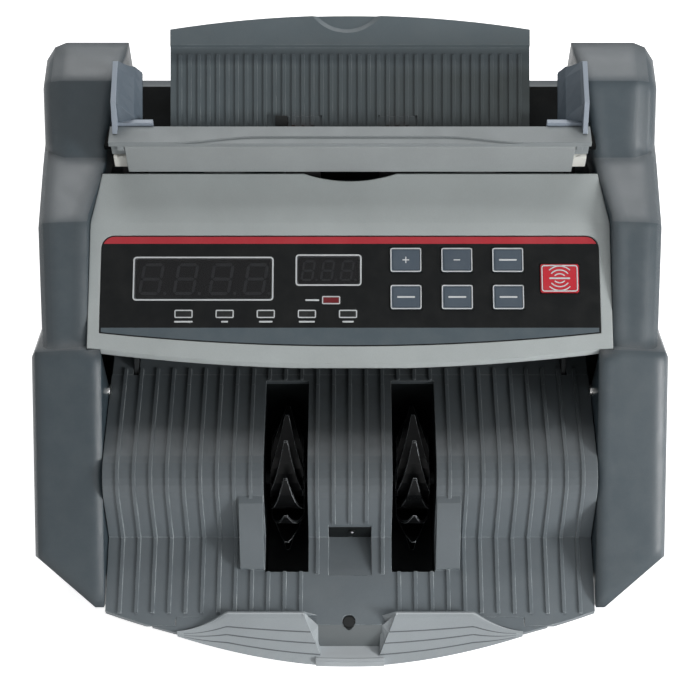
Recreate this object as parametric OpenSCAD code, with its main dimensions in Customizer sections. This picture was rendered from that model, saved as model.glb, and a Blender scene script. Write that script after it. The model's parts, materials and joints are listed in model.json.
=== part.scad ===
// Banknote counting machine: friction-feed hopper on top, sloping control
// panel, impeller stacker in front. Millimetres, +Z up, front towards -Y,
// origin under the middle of the machine on the surface it stands on.

/* [Overall] */
// Width over the arms of the side covers
body_w = 290; // [284:1:296]
// Depth of the hopper, from the access flap to the back
hopper_d = 58; // [56:1:62]
// Depth of the panel housing along its sides
panel_d = 76; // [75:1:80]
// Depth of the note pocket, from the panel housing to the front lip
pocket_d = 112; // [110:1:116]
// Clear width of the note pocket between the arms
pocket_w = 226; // [222:1:228]
// Wall thickness of the moulded covers
shell_t = 2.5; // [2:0.1:3]

/* [Side covers] */
// Height of the covers at the back
horn_h = 165; // [162:1:168]
// Height of the flat band beside the flap
band_h = 138; // [136:1:140]
// Radius of the covers' outer edges
edge_r = 6; // [4:0.5:6.5]
// How far the column stands in from the arm on each side
column_inset = 4.3; // [3:0.1:6]
// Flare of the column towards the back
column_flare = 2.6; // [1:0.1:3]
// Radius of the horns' outer edges
horn_r = 11; // [8:0.5:12]
// Height of the arms at their front tip
arm_tip_h = 29; // [27:1:32]

/* [Panel housing] */
// Height of the housing's lower corners
panel_low_h = 105.7; // [104:0.5:107]
// Tilt of the control panel
panel_tilt = 25.2; // [24:0.2:26]
// Bow of the housing's lower edge
panel_bow = 7; // [4:0.5:9]
// Thickness of the printed overlay
overlay_t = 0.8; // [0.6:0.1:1]
// Half width of the overlay
overlay_hw = 114; // [112:0.5:115]
// Height of the overlay along the slope
overlay_h = 45.5; // [44:0.5:46]
// Key size across
key_w = 14.1; // [12:0.1:15]
// Key size along the slope
key_h = 11.2; // [10:0.1:12]
// Travel of the keys
key_travel = 0.5; // [0.3:0.1:0.6]

/* [Hopper] */
// Height of the note tray at the back
tray_h = 181.7; // [180:0.5:184]
// Slope of the note tray
tray_tilt = 35; // [34:0.5:36]
// Width of the note tray
tray_w = 166; // [160:1:170]
// Number of ribs on the note tray
tray_ribs = 37; // [31:2:39]
// Height of the bar over the tray's lower end
bar_rise = 10.91; // [10:0.01:12]
// Depth of that bar
bar_d = 10; // [9:0.5:11]

/* [Stacker] */
// Height of the stacker deck
deck_h = 74; // [73:0.5:75]
// Radius of the deck's front shoulder
nose_r = 16; // [14:0.5:18]
// Pitch of the stacker ribs
rib_pitch = 7.56; // [7:0.02:7.6]
// Height of the ribs on tray and stacker
rib_h = 0.8; // [0.5:0.1:1]
// Width of the ribs
rib_w = 1.6; // [1:0.1:2]
// Slot for each impeller: inner edge, from the middle
slot_in = 19.3; // [18:0.1:20]
// Slot for each impeller: width
slot_w = 20.1; // [19:0.1:21]

/* [Impellers and rollers] */
// Outer radius of the stacking impellers
impeller_r = 34; // [32:0.5:34]
// Width of each impeller
impeller_w = 15; // [13:0.5:16]
// Number of leaves
leaves = 12; // [10:1:12]
// Radius of the shafts
shaft_r = 3; // [2.5:0.1:3.2]
// Radius of the feed rollers
feed_r = 15; // [14:0.5:15.5]
// Radius of the transport rollers
transport_r = 12; // [11:0.5:13]
// Radius of the pinch roller sleeves
pinch_r = 6; // [5:0.5:6]
// Radius of the motor
motor_r = 26; // [22:0.5:27]
// Length of the motor
motor_len = 62; // [50:1:70]

/* [Fits] */
// Gap between pieces that move past each other
gap = 0.3; // [0.2:0.05:0.4]
// Radial running clearance of a shaft in its hole
run_fit = 0.05; // [0.03:0.01:0.08]

/* [Hidden] */
$fn = 48;

// --- datum planes -------------------------------------------------------
body_d = hopper_d + panel_d + pocket_d;
y_tip = -body_d / 2;
y_low = y_tip + pocket_d;
y_flap = y_low + panel_d;
y_back = body_d / 2;
x_out = body_w / 2;
x_col = x_out - column_inset;
x_horn = x_out - 0.4;
x_in = pocket_w / 2;
x_house = x_in + 6.5;
foot_h = 5;
pan_t = 2;
z_pan = foot_h + pan_t;
y_rear_face = y_back - 3;
y_rear_panel = y_back - 10.5;
rear_inner = y_rear_panel - shell_t - pan_t - 0.5;
nip_y = y_flap + bar_d;

// hopper levels
// height of the tray surface at y
function tray_z(y) = tray_h - (y_back - y) * tan(tray_tilt);
bar_h = tray_z(nip_y) + bar_rise;
hopper_floor_z = bar_h - 12;
rim_z = tray_h - 41.7;

// panel slope
panel_kink = 58.2;
kink_y = y_low + panel_kink * cos(panel_tilt);
kink_z = panel_low_h + panel_kink * sin(panel_tilt);

// arms: inner top edge runs straight from shoulder to tip
tip_y = y_tip + 20;
arm_slope = (panel_low_h - arm_tip_h) / (y_low - 1 - tip_y);
undercut_run = 20;
outer_tip_y = tip_y + 20.5;
front_bow_r = 350;

// inner edge of the covers in plan
horn_in_mid = x_in + 0.5;
horn_in_back = x_in - 9;

// --- helpers ------------------------------------------------------------
// draws a profile in Y and Z, from x0 to x1
module along_x(x0, x1) {
    translate([x0, 0, 0]) rotate([90, 0, 90]) linear_extrude(x1 - x0) children();
}

// the same, centred on x
module slab_x(x, w) {
    along_x(x - w / 2, x + w / 2) children();
}

module rod_x(x0, x1, y, z, r) {
    translate([x0, y, z]) rotate([0, 90, 0]) cylinder(r = r, h = x1 - x0);
}

// box from one corner to the other
module box(a, b) {
    translate(a) cube(b - a);
}

// rectangle with round corners, centred
module round_rect(w, h, r) {
    square([w - 2 * r, h], center = true);
    square([w, h - 2 * r], center = true);
    for (x = [-1, 1], y = [-1, 1])
        translate([x * (w / 2 - r), y * (h / 2 - r)]) circle(r = r, $fn = 24);
}

// convex profile with a round edge on its outer side
module rounded_slab(x0, x1, r) {
    hull() {
        for (a = [0, 30, 60, 90])
            along_x(x0, x1 - r + r * sin(a)) offset(delta = -r * (1 - cos(a))) children();
    }
}

// frame on the panel: x across, y up the slope, z out of the panel
module on_panel() {
    translate([0, y_low, panel_low_h]) rotate([panel_tilt, 0, 0]) children();
}

// --- side covers ----------------------------------------------------------
// outline of an arm, seen from the side
function arm_profile(tip, drop, inset) =
    let (tip_z = arm_tip_h + (tip - tip_y) * arm_slope - drop)
    [[tip + undercut_run + 0.2 * (tip_z - z_pan) + inset, z_pan],
     [tip + inset * 1.2, tip_z - inset * 0.3],
     [y_low - 1, panel_low_h - drop - inset],
     [y_low + 50, panel_low_h - drop - inset - 23],
     [y_low + 50, z_pan]];

module column_profile() {
    polygon([[y_low - 1, z_pan + 50], [y_low - 1, panel_low_h - 3],
        [y_low + 48, band_h - 2], [y_flap + bar_d, band_h],
        [y_rear_face, band_h], [y_rear_face, z_pan + 50]]);
}

module low_profile() {
    polygon([[y_low - 10, z_pan], [y_rear_face, z_pan],
        [y_rear_face, panel_low_h - 12], [y_low - 10, panel_low_h - 12]]);
}

horn_low_z = 72;
module horn_profile() {
    polygon([[y_flap + bar_d - 15, band_h - 15], [y_flap + bar_d + 25, horn_h - 2],
        [y_back, horn_h], [y_back, horn_low_z], [y_flap + bar_d - 15, horn_low_z]]);
}

// plan of everything between the covers, which they stay clear of
module between_covers(extra) {
    polygon([[-x_in - extra, y_tip - 1], [x_in + extra, y_tip - 1],
        [x_in + extra, y_low - 1], [x_house + extra, y_low - 1],
        [x_house + extra, kink_y], [x_in + 2 + extra, y_flap],
        [horn_in_mid + extra, y_flap + bar_d + 7],
        [horn_in_back + 3 + extra, y_back - 13], [horn_in_back + extra, y_back + 1],
        [-horn_in_back - extra, y_back + 1], [-horn_in_back - 3 - extra, y_back - 13],
        [-horn_in_mid - extra, y_flap + bar_d + 7], [-x_in - 2 - extra, y_flap],
        [-x_house - extra, kink_y], [-x_house - extra, y_low - 1],
        [-x_in - extra, y_low - 1]]);
}

module cover_hollow() {
    // arm: closed towards the pocket
    hull() {
        along_x(x_in - 1, x_in + 4) polygon(arm_profile(tip_y + 3, shell_t, shell_t));
        along_x(x_in, x_out - shell_t)
            polygon(arm_profile(outer_tip_y, edge_r * 0.8 + shell_t, shell_t));
    }
    along_x(x_in - 30, x_out - shell_t) offset(delta = -shell_t) low_profile();
    flared() along_x(x_in - 30, x_col - shell_t) offset(delta = -shell_t) column_profile();
    along_x(x_in - 30, x_horn - horn_r * 0.6) offset(delta = -shell_t - 0.6) horn_profile();
}

module cover_body() {
    hull() {
        along_x(x_in, x_in + 4) polygon(arm_profile(tip_y, 0, 0));
        along_x(x_out - edge_r - 3, x_out - edge_r * 0.35)
            polygon(arm_profile(outer_tip_y - 2, edge_r * 0.35, 0));
        along_x(x_out - edge_r, x_out) polygon(arm_profile(outer_tip_y, edge_r, 0));
    }
    rounded_slab(x_in - 9, x_out, edge_r) low_profile();
    intersection() {
        flared() rounded_slab(x_in - 16, x_col, edge_r) column_profile();
        box([0, y_low - 10, 0], [x_out, y_rear_face, horn_h]);
    }
    rounded_slab(x_in - 12, x_horn, horn_r) horn_profile();
}

// turns a column outwards about its front edge
module flared() {
    translate([x_col, y_low, 0]) rotate([0, 0, -column_flare]) translate([-x_col, -y_low, 0])
        children();
}

// openings towards the inside of the machine
module cover_open_side() {
    // below the panel housing and the hopper
    box([x_in - 40, y_low - 1 + shell_t, z_pan - 1], [x_house + 4, y_rear_face - shell_t, 94]);
    box([x_in - 40, y_low + 48, z_pan - 1], [x_house + 4, y_rear_face - shell_t, 124]);
    // open foot rim
    box([x_in + shell_t, y_low - 40, z_pan - 1],
        [x_out - shell_t, y_rear_face - shell_t, z_pan + 4]);
}

module side_cover() {
    difference() {
        cover_body();
        translate([0, 0, z_pan - 1]) linear_extrude(horn_h) between_covers(0);
        difference() {
            cover_hollow();
            translate([0, 0, z_pan - 1]) linear_extrude(horn_h) between_covers(shell_t);
        }
        cover_open_side();
        // screw hole in the arm's inner wall
        rod_x(x_in - 1, x_in + shell_t + 1, arm_screw_y, arm_screw_z, 1.6);
    }
}
arm_screw_y = y_low - 4.2;
arm_screw_z = 77;

module right_side_cover() {
    color("#5b676d") side_cover();
}

module left_side_cover() {
    color("#5b676d") mirror([1, 0, 0]) side_cover();
}

// --- base -----------------------------------------------------------------
module base_pan() {
    lip_h = 8;
    color("#3a4044") difference() {
        union() {
            translate([0, 0, foot_h]) linear_extrude(pan_t) pan_plan();
            box([-90, skirt_y + shell_t, foot_h],
                [90, skirt_y + shell_t + pan_t, foot_h + lip_h]);
            box([-plate_x + 2, y_rear_panel - shell_t - pan_t, foot_h],
                [plate_x - 2, y_rear_panel - shell_t, foot_h + lip_h]);
        }
        for (x = [-1, 1], y = foot_rows) translate([x * foot_x, y, 0]) cylinder(r = 2, h = 20);
        // louvres under the motor and the board
        for (x = [-4:4]) box([x * 14 - 3, 40, 0], [x * 14 + 3, 70, 20]);
    }
}
foot_x = 112;
foot_rows = [y_low - 44, y_rear_face - 22];

module pan_plan() {
    polygon([[-95, skirt_y], [95, skirt_y], [x_in - 4, y_low - 66],
        [x_out - 6, y_low - 40], [x_out - 3, y_rear_face - 1],
        [-x_out + 3, y_rear_face - 1], [-x_out + 6, y_low - 40], [-x_in + 4, y_low - 66]]);
}

module rubber_feet() {
    color("#1c1d1e") for (x = [-1, 1], y = foot_rows) translate([x * foot_x, y, 0])
        difference() {
            union() {
                cylinder(r1 = 8, r2 = 9, h = foot_h);
                cylinder(r = 1.9, h = z_pan);
            }
            translate([0, 0, -1]) cylinder(r = 3, h = 2.5);
        }
}

// --- stacker --------------------------------------------------------------
deck_back = y_low + 6.5;
nose_y = y_low - 38;
floor_kink = [y_low - 60.2, 37.5];
floor_tip = [y_tip + 12, 26.5];
lip_y = y_tip + 15.5;
lip_hw = 79.7;
recess_hw = 10;
recess_back = nose_y - 20;
recess_front = y_low - 77.6;
recess_floor = 33.4;

// line of the deck, shoulder, face and floor, lifted by h along its normal
function stacker_line(h) =
    let (c = [nose_y, deck_h - nose_r],
        k = floor_kink + [-h * 0.9, h * 0.75],
        v = k - c,
        r = nose_r + h,
        turn = atan2(v[1], v[0]) + 360 - acos(r / norm(v)))
    concat([[deck_back, deck_h + h]],
        [for (i = [0:6]) let (a = 90 + (turn - 90) * i / 6) c + r * [cos(a), sin(a)]],
        [k, floor_tip + [-h * 0.3, h]]);

function reversed(list) = [for (i = [len(list) - 1:-1:0]) list[i]];

// a band between two lifts of the stacker line
module stacker_band(low, high) {
    polygon(concat(stacker_line(high), reversed(stacker_line(low))));
}

module bow_plan(inset) {
    translate([0, y_tip + front_bow_r]) circle(r = front_bow_r - inset, $fn = 200);
}

// how far down each rib runs, from its number
function rib_end(i) = abs(i) <= 1 ? nose_y - 24 : abs(i) == 2 ? y_low - 77 : lip_y + 2;

module stacker_plate() {
    color("#7d878c") difference() {
        union() {
            intersection() {
                along_x(-x_in + 0.5, x_in - 0.5) stacker_band(-shell_t, 0);
                translate([0, 0, z_pan]) linear_extrude(deck_h) union() {
                    difference() {
                        bow_plan(0);
                        box2([-lip_hw - gap, y_tip - 20], [lip_hw + gap, lip_y + gap]);
                    }
                    box2([-15.7, lip_y - 3], [15.7, lip_y + 5]);
                }
            }
            for (i = [-14:14]) intersection() {
                slab_x(i * rib_pitch, rib_w) stacker_band(-1, rib_h);
                box([-x_in, rib_end(i), z_pan], [x_in, deck_back - 6, deck_h + 5]);
            }
            // guide wedges beside the outer edges of the slots
            for (s = [-1, 1]) slab_x(s * (slot_in + slot_w + 5.8), 11) polygon([
                [nose_y - 12, 62], [nose_y - 14, 64], [nose_y - 18, 62],
                [nose_y - 37.5, 35.5], [nose_y - 37, 33], [nose_y - 18, 40]]);
            // skirt that stands on the base pan
            box([-95, skirt_y, z_pan], [95, skirt_y + shell_t, 30]);
            // tray under the hand recess in the middle
            slab_x(0, 2 * (recess_hw + shell_t)) polygon([
                [recess_back + shell_t, recess_floor + 10.5],
                [recess_back + shell_t, recess_floor - shell_t],
                [recess_front - 1.5, recess_floor - shell_t - 0.8],
                [recess_front - 1.5, recess_floor - 1.2], floor_kink - [0, 0.1],
                [recess_back - 0.1, recess_floor + 10]]);
        }
        for (s = [-1, 1]) box([s > 0 ? slot_in : -slot_in - slot_w, y_low - 76, z_pan - 1],
            [s > 0 ? slot_in + slot_w : -slot_in, y_low + 3, deck_h + 5]);
        // hand recess
        slab_x(0, 2 * recess_hw) polygon([[recess_back, deck_h], [recess_back, recess_floor],
            [recess_front, recess_floor - 0.8], [recess_front, deck_h]]);
        // eye of the front sensor
        translate([-0.5, lip_y - 1.5, 20]) cylinder(r = 3, h = 12);
    }
}
skirt_y = lip_y + 9.8;

module box2(a, b) {
    translate(a) square(b - a);
}

// terraces that follow the bow, with a finger notch in the middle
module front_lip() {
    terraces = [[10.5, 33, 20], [7, 27, 20], [3.5, 20, 13], [0, 13, 8]];
    notch_hw = 15.7;
    color("#a9b0b3") difference() {
        for (t = terraces) translate([0, 0, t[2]]) linear_extrude(t[1] - t[2])
            intersection() {
                bow_plan(t[0]);
                box2([-lip_hw, y_tip - 1], [lip_hw, t[1] > 25 ? lip_y : skirt_y]);
            }
        // room under the stacker floor
        box([-lip_hw - 1, lip_y, 23.5], [lip_hw + 1, lip_y + 20, 40]);
        // finger notch down to a ledge
        box([-notch_hw - gap, lip_y - 3.3, 10.6], [notch_hw + gap, skirt_y + 1, 40]);
        hull() {
            box([-notch_hw, lip_y - 4, 10.6], [notch_hw, lip_y - 3, 40]);
            box([-notch_hw + 2, y_tip + 4.5, 10.6], [notch_hw - 2, y_tip + 5, 40]);
        }
    }
}

// --- impellers ------------------------------------------------------------
impeller_y = y_low - 31;
impeller_z = 42;
hub_r = 9;
leaf_sweep = 78;

// leaf seen from the side: root on the hub, tip trailing
function leaf_edge(side) = [for (i = [0:8]) let (s = i / 8,
    r = hub_r - 1 + (impeller_r - hub_r + 1) * pow(s, 0.85),
    half = (1.3 - 0.8 * s) * side,
    a = leaf_sweep * pow(1 - s, 1.25))
    r * [cos(a), sin(a)] + half * [cos(a + 66 + 24 * s), sin(a + 66 + 24 * s)]];

module leaf_2d() {
    polygon(concat(leaf_edge(1), reversed(leaf_edge(-1))));
}

module impeller(x) {
    half = impeller_w / 2;
    shoulder = impeller_r * 0.28;
    translate([x, impeller_y, impeller_z]) rotate([90, 0, 90]) difference() {
        union() {
            translate([0, 0, -half - 0.6]) cylinder(r = hub_r, h = impeller_w + 1.2);
            for (i = [0:leaves - 1]) rotate(i * 360 / leaves + 1) intersection() {
                translate([0, 0, -half]) linear_extrude(impeller_w) leaf_2d();
                // pointed leaf tip
                translate([0, 40, 0]) rotate([90, 0, 0]) linear_extrude(80) polygon([
                    [-20, -half - 1], [shoulder, -half - 1], [impeller_r + 0.6, -0.7],
                    [impeller_r + 0.6, 0.7], [shoulder, half + 1], [-20, half + 1]]);
            }
        }
        translate([0, 0, -half - 2]) cylinder(r = shaft_r, h = impeller_w + 4);
    }
}
impeller_x = slot_in + slot_w / 2;

module left_impeller() {
    color("#1d1e20") impeller(-impeller_x);
}

module right_impeller() {
    color("#1d1e20") impeller(impeller_x);
}

// dark walls beside and behind each impeller
module impeller_wells() {
    well_t = 1;
    well_gap = 0.3;
    side = [slot_in - well_gap - well_t, slot_in + slot_w + well_gap];
    color("#17191a") for (s = [0, 1]) mirror([s, 0, 0]) difference() {
        intersection() {
            union() {
                for (x = side) along_x(x, x + well_t) well_profile();
                along_x(side[0], side[1] + well_t) intersection() {
                    well_profile();
                    box2([well_back - well_t, 0], [well_back, deck_h]);
                }
            }
            box([0, y_low - 75, z_pan], [x_in, well_back, deck_h]);
        }
        rod_x(0, x_in, impeller_y, impeller_z, shaft_r + 1);
    }
}
well_back = y_low + 5;

module well_profile() {
    polygon(concat(stacker_line(-shell_t - 1), [[floor_tip[0], z_pan], [deck_back, z_pan]]));
}

// --- shafts, rollers, pulleys --------------------------------------------
plate_x = 100;
plate_t = 2;
lane_a = plate_x + plate_t + 1.5;
lane_w = 3.5;
lane_b = lane_a + lane_w + 0.8;
shaft_end = lane_a + lane_w;

feed_y = nip_y + (feed_r - 0.5) * sin(tray_tilt);
feed_z = tray_z(nip_y) - (feed_r - 0.5) * cos(tray_tilt);
transport_y = feed_y - 27.6;
transport_z = feed_z - 35.9;
pinch_angle = 143;
pinch_y = transport_y + (transport_r + pinch_r + gap) * cos(pinch_angle);
pinch_z = transport_z + (transport_r + pinch_r + gap) * sin(pinch_angle);
motor_y = feed_y - 11.6;
motor_z = 44;
feed_pulley_r = 6.5;
motor_drive_r = 6.5;
motor_impeller_r = 8;
impeller_pulley_r = 16;

module impeller_shaft() {
    color("silver") rod_x(-plate_x - plate_t - 1, lane_b + lane_w, impeller_y, impeller_z,
        shaft_r);
}

// flanged pulley with the shaft's hole through it
module pulley(x, y, z, r) {
    difference() {
        union() {
            rod_x(x, x + lane_w, y, z, r);
            rod_x(x, x + 0.5, y, z, r + 0.9);
            rod_x(x + lane_w - 0.5, x + lane_w, y, z, r + 0.9);
        }
        rod_x(x - 1, x + lane_w + 1, y, z, shaft_r);
    }
}

module impeller_pulley() {
    color("#d8d8d2") pulley(lane_b, impeller_y, impeller_z, impeller_pulley_r);
}

module feed_shaft() {
    color("silver") rod_x(-shaft_end, shaft_end, feed_y, feed_z, shaft_r);
}

module roller(x, w, y, z, r) {
    difference() {
        rod_x(x - w / 2, x + w / 2, y, z, r);
        rod_x(x - w, x + w, y, z, shaft_r);
    }
}
feed_roller_x = 22;
feed_roller_w = 16;
transport_roller_x = 60;
transport_roller_w = 14;

module feed_rollers() {
    color("#2a2a2c") for (s = [-1, 1])
        roller(s * feed_roller_x, feed_roller_w, feed_y, feed_z, feed_r);
}

module feed_pulleys() {
    color("#d8d8d2") for (x = [lane_a, -lane_a - lane_w])
        pulley(x, feed_y, feed_z, feed_pulley_r);
}

module transport_shaft() {
    color("silver") rod_x(-shaft_end, plate_x + plate_t + 1, transport_y, transport_z, shaft_r);
}

module transport_rollers() {
    color("#2a2a2c") for (s = [-1, 1])
        roller(s * transport_roller_x, transport_roller_w, transport_y, transport_z,
            transport_r);
}

module transport_pulley() {
    color("#d8d8d2") pulley(-lane_a - lane_w, transport_y, transport_z, feed_pulley_r);
}

module pinch_roller() {
    color("#c9ccce") {
        rod_x(-plate_x - plate_t, plate_x + plate_t, pinch_y, pinch_z, pinch_pin_r);
        for (s = [-1, 1]) rod_x(s * transport_roller_x - transport_roller_w / 2,
            s * transport_roller_x + transport_roller_w / 2, pinch_y, pinch_z, pinch_r);
    }
}
pinch_pin_r = 2;

// rubber pads that hold back the second note
module retard_pads() {
    color("#b5482f") for (s = [-1, 1]) slab_x(s * feed_roller_x, feed_roller_w - 2) polygon([
        [nip_y - 5, bar_h - shell_t], [nip_y + 1, bar_h - shell_t],
        [nip_y + 1, tray_z(nip_y) + 2], [nip_y - 4, tray_z(nip_y) - 2]]);
}

// --- frame ------------------------------------------------------------------
frame_top = bar_h - shell_t;
bearing_r = 7;

module frame_profile() {
    polygon([[impeller_y - 15, z_pan], [rear_inner, z_pan], [rear_inner, 60],
        [feed_y + 16, 100], [feed_y + 16, hopper_floor_z - shell_t],
        [y_flap + 5, hopper_floor_z - shell_t], [y_flap + 4, 128],
        [kink_y - 6, 117], [y_low + 22, 88], [deck_back + 0.3, deck_h - shell_t],
        [nose_y + 2, deck_h - shell_t], [impeller_y - 15, 56]]);
}

module frame_plate(x) {
    along_x(x, x + plate_t) difference() {
        frame_profile();
        for (p = [[impeller_y, impeller_z], [feed_y, feed_z], [transport_y, transport_z]])
            translate(p) circle(r = bearing_r);
        translate([pinch_y, pinch_z]) circle(r = pinch_pin_r + run_fit);
        translate([motor_y, motor_z]) circle(r = 5);
        for (p = tie_points) translate(p) circle(r = 2);
        translate([y_low + 28, 34]) round_rect(36, 24, 6);
    }
}
tie_points = [[y_low + 11, 18], [rear_inner - 7, 12], [rear_inner - 7, 56]];

module left_frame_plate() {
    color("#b9bdc0") {
        frame_plate(-plate_x - plate_t);
    }
}

module right_frame_plate() {
    color("#b9bdc0") {
        frame_plate(plate_x);
    }
}

// white brackets that show in the gaps beside the flap
module latch_brackets() {
    top = hopper_floor_z - shell_t;
    color("#e4e4e0") for (s = [0, 1]) mirror([s, 0, 0]) {
        box([plate_x + plate_t, y_flap + 3, top - 5], [plate_x + plate_t + 7, y_flap + 9, top]);
        rod_x(plate_x + plate_t, plate_x + plate_t + 7, y_flap + 4.5, top + 0.6, 1.5);
        // arched tongue that stands up behind the flap's end
        translate([plate_x + plate_t + 3.6, y_flap + 3, top - 1]) rotate([90, 0, 0])
            translate([0, 0, -2]) linear_extrude(2) {
                translate([0, 0.6]) circle(r = 2.4);
                square([4.8, 1.2], center = true);
            }
    }
}

module tie_rods() {
    color("silver") for (p = tie_points) {
        rod_x(-plate_x, plate_x, p[0], p[1], 4);
        rod_x(-plate_x - plate_t - 2, plate_x + plate_t + 2, p[0], p[1], 1.9);
    }
}

module bearing(x, y, z) {
    difference() {
        union() {
            rod_x(x - 0.8, x + plate_t + 0.6, y, z, bearing_r - 0.02);
            rod_x(x - 1.4, x - 0.1, y, z, bearing_r + 0.4);
        }
        rod_x(x - 5, x + plate_t + 5, y, z, shaft_r + run_fit);
    }
}

module shaft_bearings() {
    color("#8d9296") for (p = [[impeller_y, impeller_z], [feed_y, feed_z],
        [transport_y, transport_z]]) {
        bearing(plate_x, p[0], p[1]);
        mirror([1, 0, 0]) bearing(plate_x, p[0], p[1]);
    }
}

// --- drive ------------------------------------------------------------------
module motor() {
    color("#9a9fa3") {
        difference() {
            union() {
                rod_x(plate_x - motor_len, plate_x, motor_y, motor_z, motor_r);
                rod_x(plate_x - motor_len - 3, plate_x - motor_len, motor_y, motor_z, 8);
                rod_x(plate_x, plate_x + plate_t, motor_y, motor_z, 4.9);
            }
            rod_x(plate_x - 12, plate_x + plate_t + 1, motor_y, motor_z, shaft_r + run_fit);
            for (a = [0:30:330]) translate([0, motor_y, motor_z]) rotate([a, 0, 0])
                box([plate_x - motor_len + 6, motor_r - 2, -1.2],
                    [plate_x - motor_len + 24, motor_r + 2, 1.2]);
        }
    }
}

// rotor shaft with its two belt pulleys
module motor_pulleys() {
    color("#d8d8d2") {
        rod_x(plate_x - 11, lane_b + lane_w + 1, motor_y, motor_z, shaft_r);
        pulley(lane_a, motor_y, motor_z, motor_drive_r);
        pulley(lane_b, motor_y, motor_z, motor_impeller_r);
    }
}

// outline of a loop round two circles
module loop_2d(p, rp, q, rq) {
    hull() {
        translate(p) circle(r = rp);
        translate(q) circle(r = rq);
    }
}

module belt(x, p, rp, q, rq) {
    belt_t = 1;
    clear = 0.15;
    along_x(x + 0.7, x + lane_w - 0.7) difference() {
        loop_2d(p, rp + clear + belt_t, q, rq + clear + belt_t);
        loop_2d(p, rp + clear, q, rq + clear);
    }
}

module drive_belt() {
    color("#26282a") belt(lane_a, [motor_y, motor_z], motor_drive_r, [feed_y, feed_z],
        feed_pulley_r);
}

module impeller_belt() {
    color("#26282a") belt(lane_b, [motor_y, motor_z], motor_impeller_r,
        [impeller_y, impeller_z], impeller_pulley_r);
}

module transport_belt() {
    color("#26282a") belt(-lane_a - lane_w, [feed_y, feed_z], feed_pulley_r,
        [transport_y, transport_z], feed_pulley_r);
}

// --- electrics ----------------------------------------------------------
module transformer() {
    color("#8c7b5a") {
        box([-88, rear_inner - 72, z_pan], [-40, rear_inner - 28, z_pan + 40]);
        box([-80, rear_inner - 78, z_pan + 8], [-48, rear_inner - 72, z_pan + 32]);
        box([-80, rear_inner - 28, z_pan + 8], [-48, rear_inner - 22, z_pan + 32]);
    }
}

module main_board() {
    color("#2f6b3c") difference() {
        union() {
            box([-34, y_low + 16, z_pan + 6], [30, rear_inner - 12, z_pan + 7.6]);
            for (x = [-30, 26], y = [y_low + 20, rear_inner - 16])
                translate([x, y, z_pan]) cylinder(r = 3, h = 6.5);
            box([-20, y_low + 30, z_pan + 7], [-2, y_low + 48, z_pan + 10]);
            for (x = [8, 20]) translate([x, y_low + 60, z_pan + 7]) cylinder(r = 5, h = 14);
        }
        for (x = [-30, 26], y = [y_low + 20, rear_inner - 16])
            translate([x, y, z_pan - 1]) cylinder(r = 1.3, h = 12);
    }
}

// --- panel housing --------------------------------------------------------
module house_plan(inset) {
    offset(delta = -gap - inset) intersection() {
        box2([-x_house - 5, y_low - panel_bow], [x_house + 5, y_flap + gap]);
        between_covers_house();
    }
}

module between_covers_house() {
    polygon([[-x_house, y_low - 20], [x_house, y_low - 20], [x_house, kink_y],
        [x_in + 2, y_flap + gap * 2], [-x_in - 2, y_flap + gap * 2], [-x_house, kink_y]]);
}

house_skirt = 10.5;
// the lower edge is a low rim with the skirt set back behind it
house_rim = 3.5;
skirt_setback = 5;
// top surface of the housing, and the space below it down to depth
module house_band(top, depth) {
    polygon([[y_low - 20, panel_low_h - 20 * tan(panel_tilt) - top],
        [kink_y, kink_z - top], [y_flap + 5, band_h + 1.5 - top],
        [y_flap + 5, band_h + 1.5 - depth], [kink_y, kink_z - depth],
        [y_low - 20, panel_low_h - 20 * tan(panel_tilt) - depth]]);
}

bow_r = (x_house * x_house + panel_bow * panel_bow) / (2 * panel_bow);

module house_shape(inset, top, depth, setback) {
    intersection() {
        along_x(-x_house - 1, x_house + 1) house_band(top, depth);
        translate([0, 0, 60]) linear_extrude(120) intersection() {
            house_plan(inset);
            translate([0, y_low - panel_bow + bow_r])
                circle(r = bow_r - inset - setback, $fn = 300);
        }
    }
}

// overlay outline on the panel, bowed along its lower edge
overlay_low = 0.6;
overlay_bow = 6.1;
module overlay_2d(shrink) {
    big_r = (overlay_hw * overlay_hw + overlay_bow * overlay_bow) / (2 * overlay_bow);
    intersection() {
        translate([0, overlay_low + big_r]) circle(r = big_r - shrink, $fn = 300);
        translate([0, overlay_low + (overlay_bow + overlay_h) / 2])
            round_rect(2 * (overlay_hw - shrink), overlay_bow + overlay_h - 2 * shrink, 6);
    }
}

// windows: [x, y, width, height]
main_window = [-67, 32, 63.7, 20];
batch_window = [-9.8, 36, 29.7, 14.2];
lamp_w = 8.2;
lamp_h = 3.7;
lamp_pitch = 18.7;
lamps = concat([for (i = [0:4]) [-75.7 + i * lamp_pitch, 15.6]], [[-8.6, 22]]);
key_rows = [40.6, 23.3];
key_x = 25.5;
key_pitch = 23.3;
reset_at = [95.6, 32];
reset_w = 17.5;
reset_h = 13.3;

module at_keys(grow) {
    for (c = [0:2], r = [0:1]) translate([key_x + c * key_pitch, key_rows[r]])
        square([key_w + grow, key_h + grow], center = true);
    translate(reset_at) square([reset_w + grow, reset_h + grow], center = true);
}

module at_windows(grow) {
    for (w = [main_window, batch_window]) translate([w[0], w[1]])
        round_rect(w[2] + grow, w[3] + grow, 1.5);
    for (p = lamps) translate(p) square([lamp_w + grow, lamp_h + grow], center = true);
}

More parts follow.
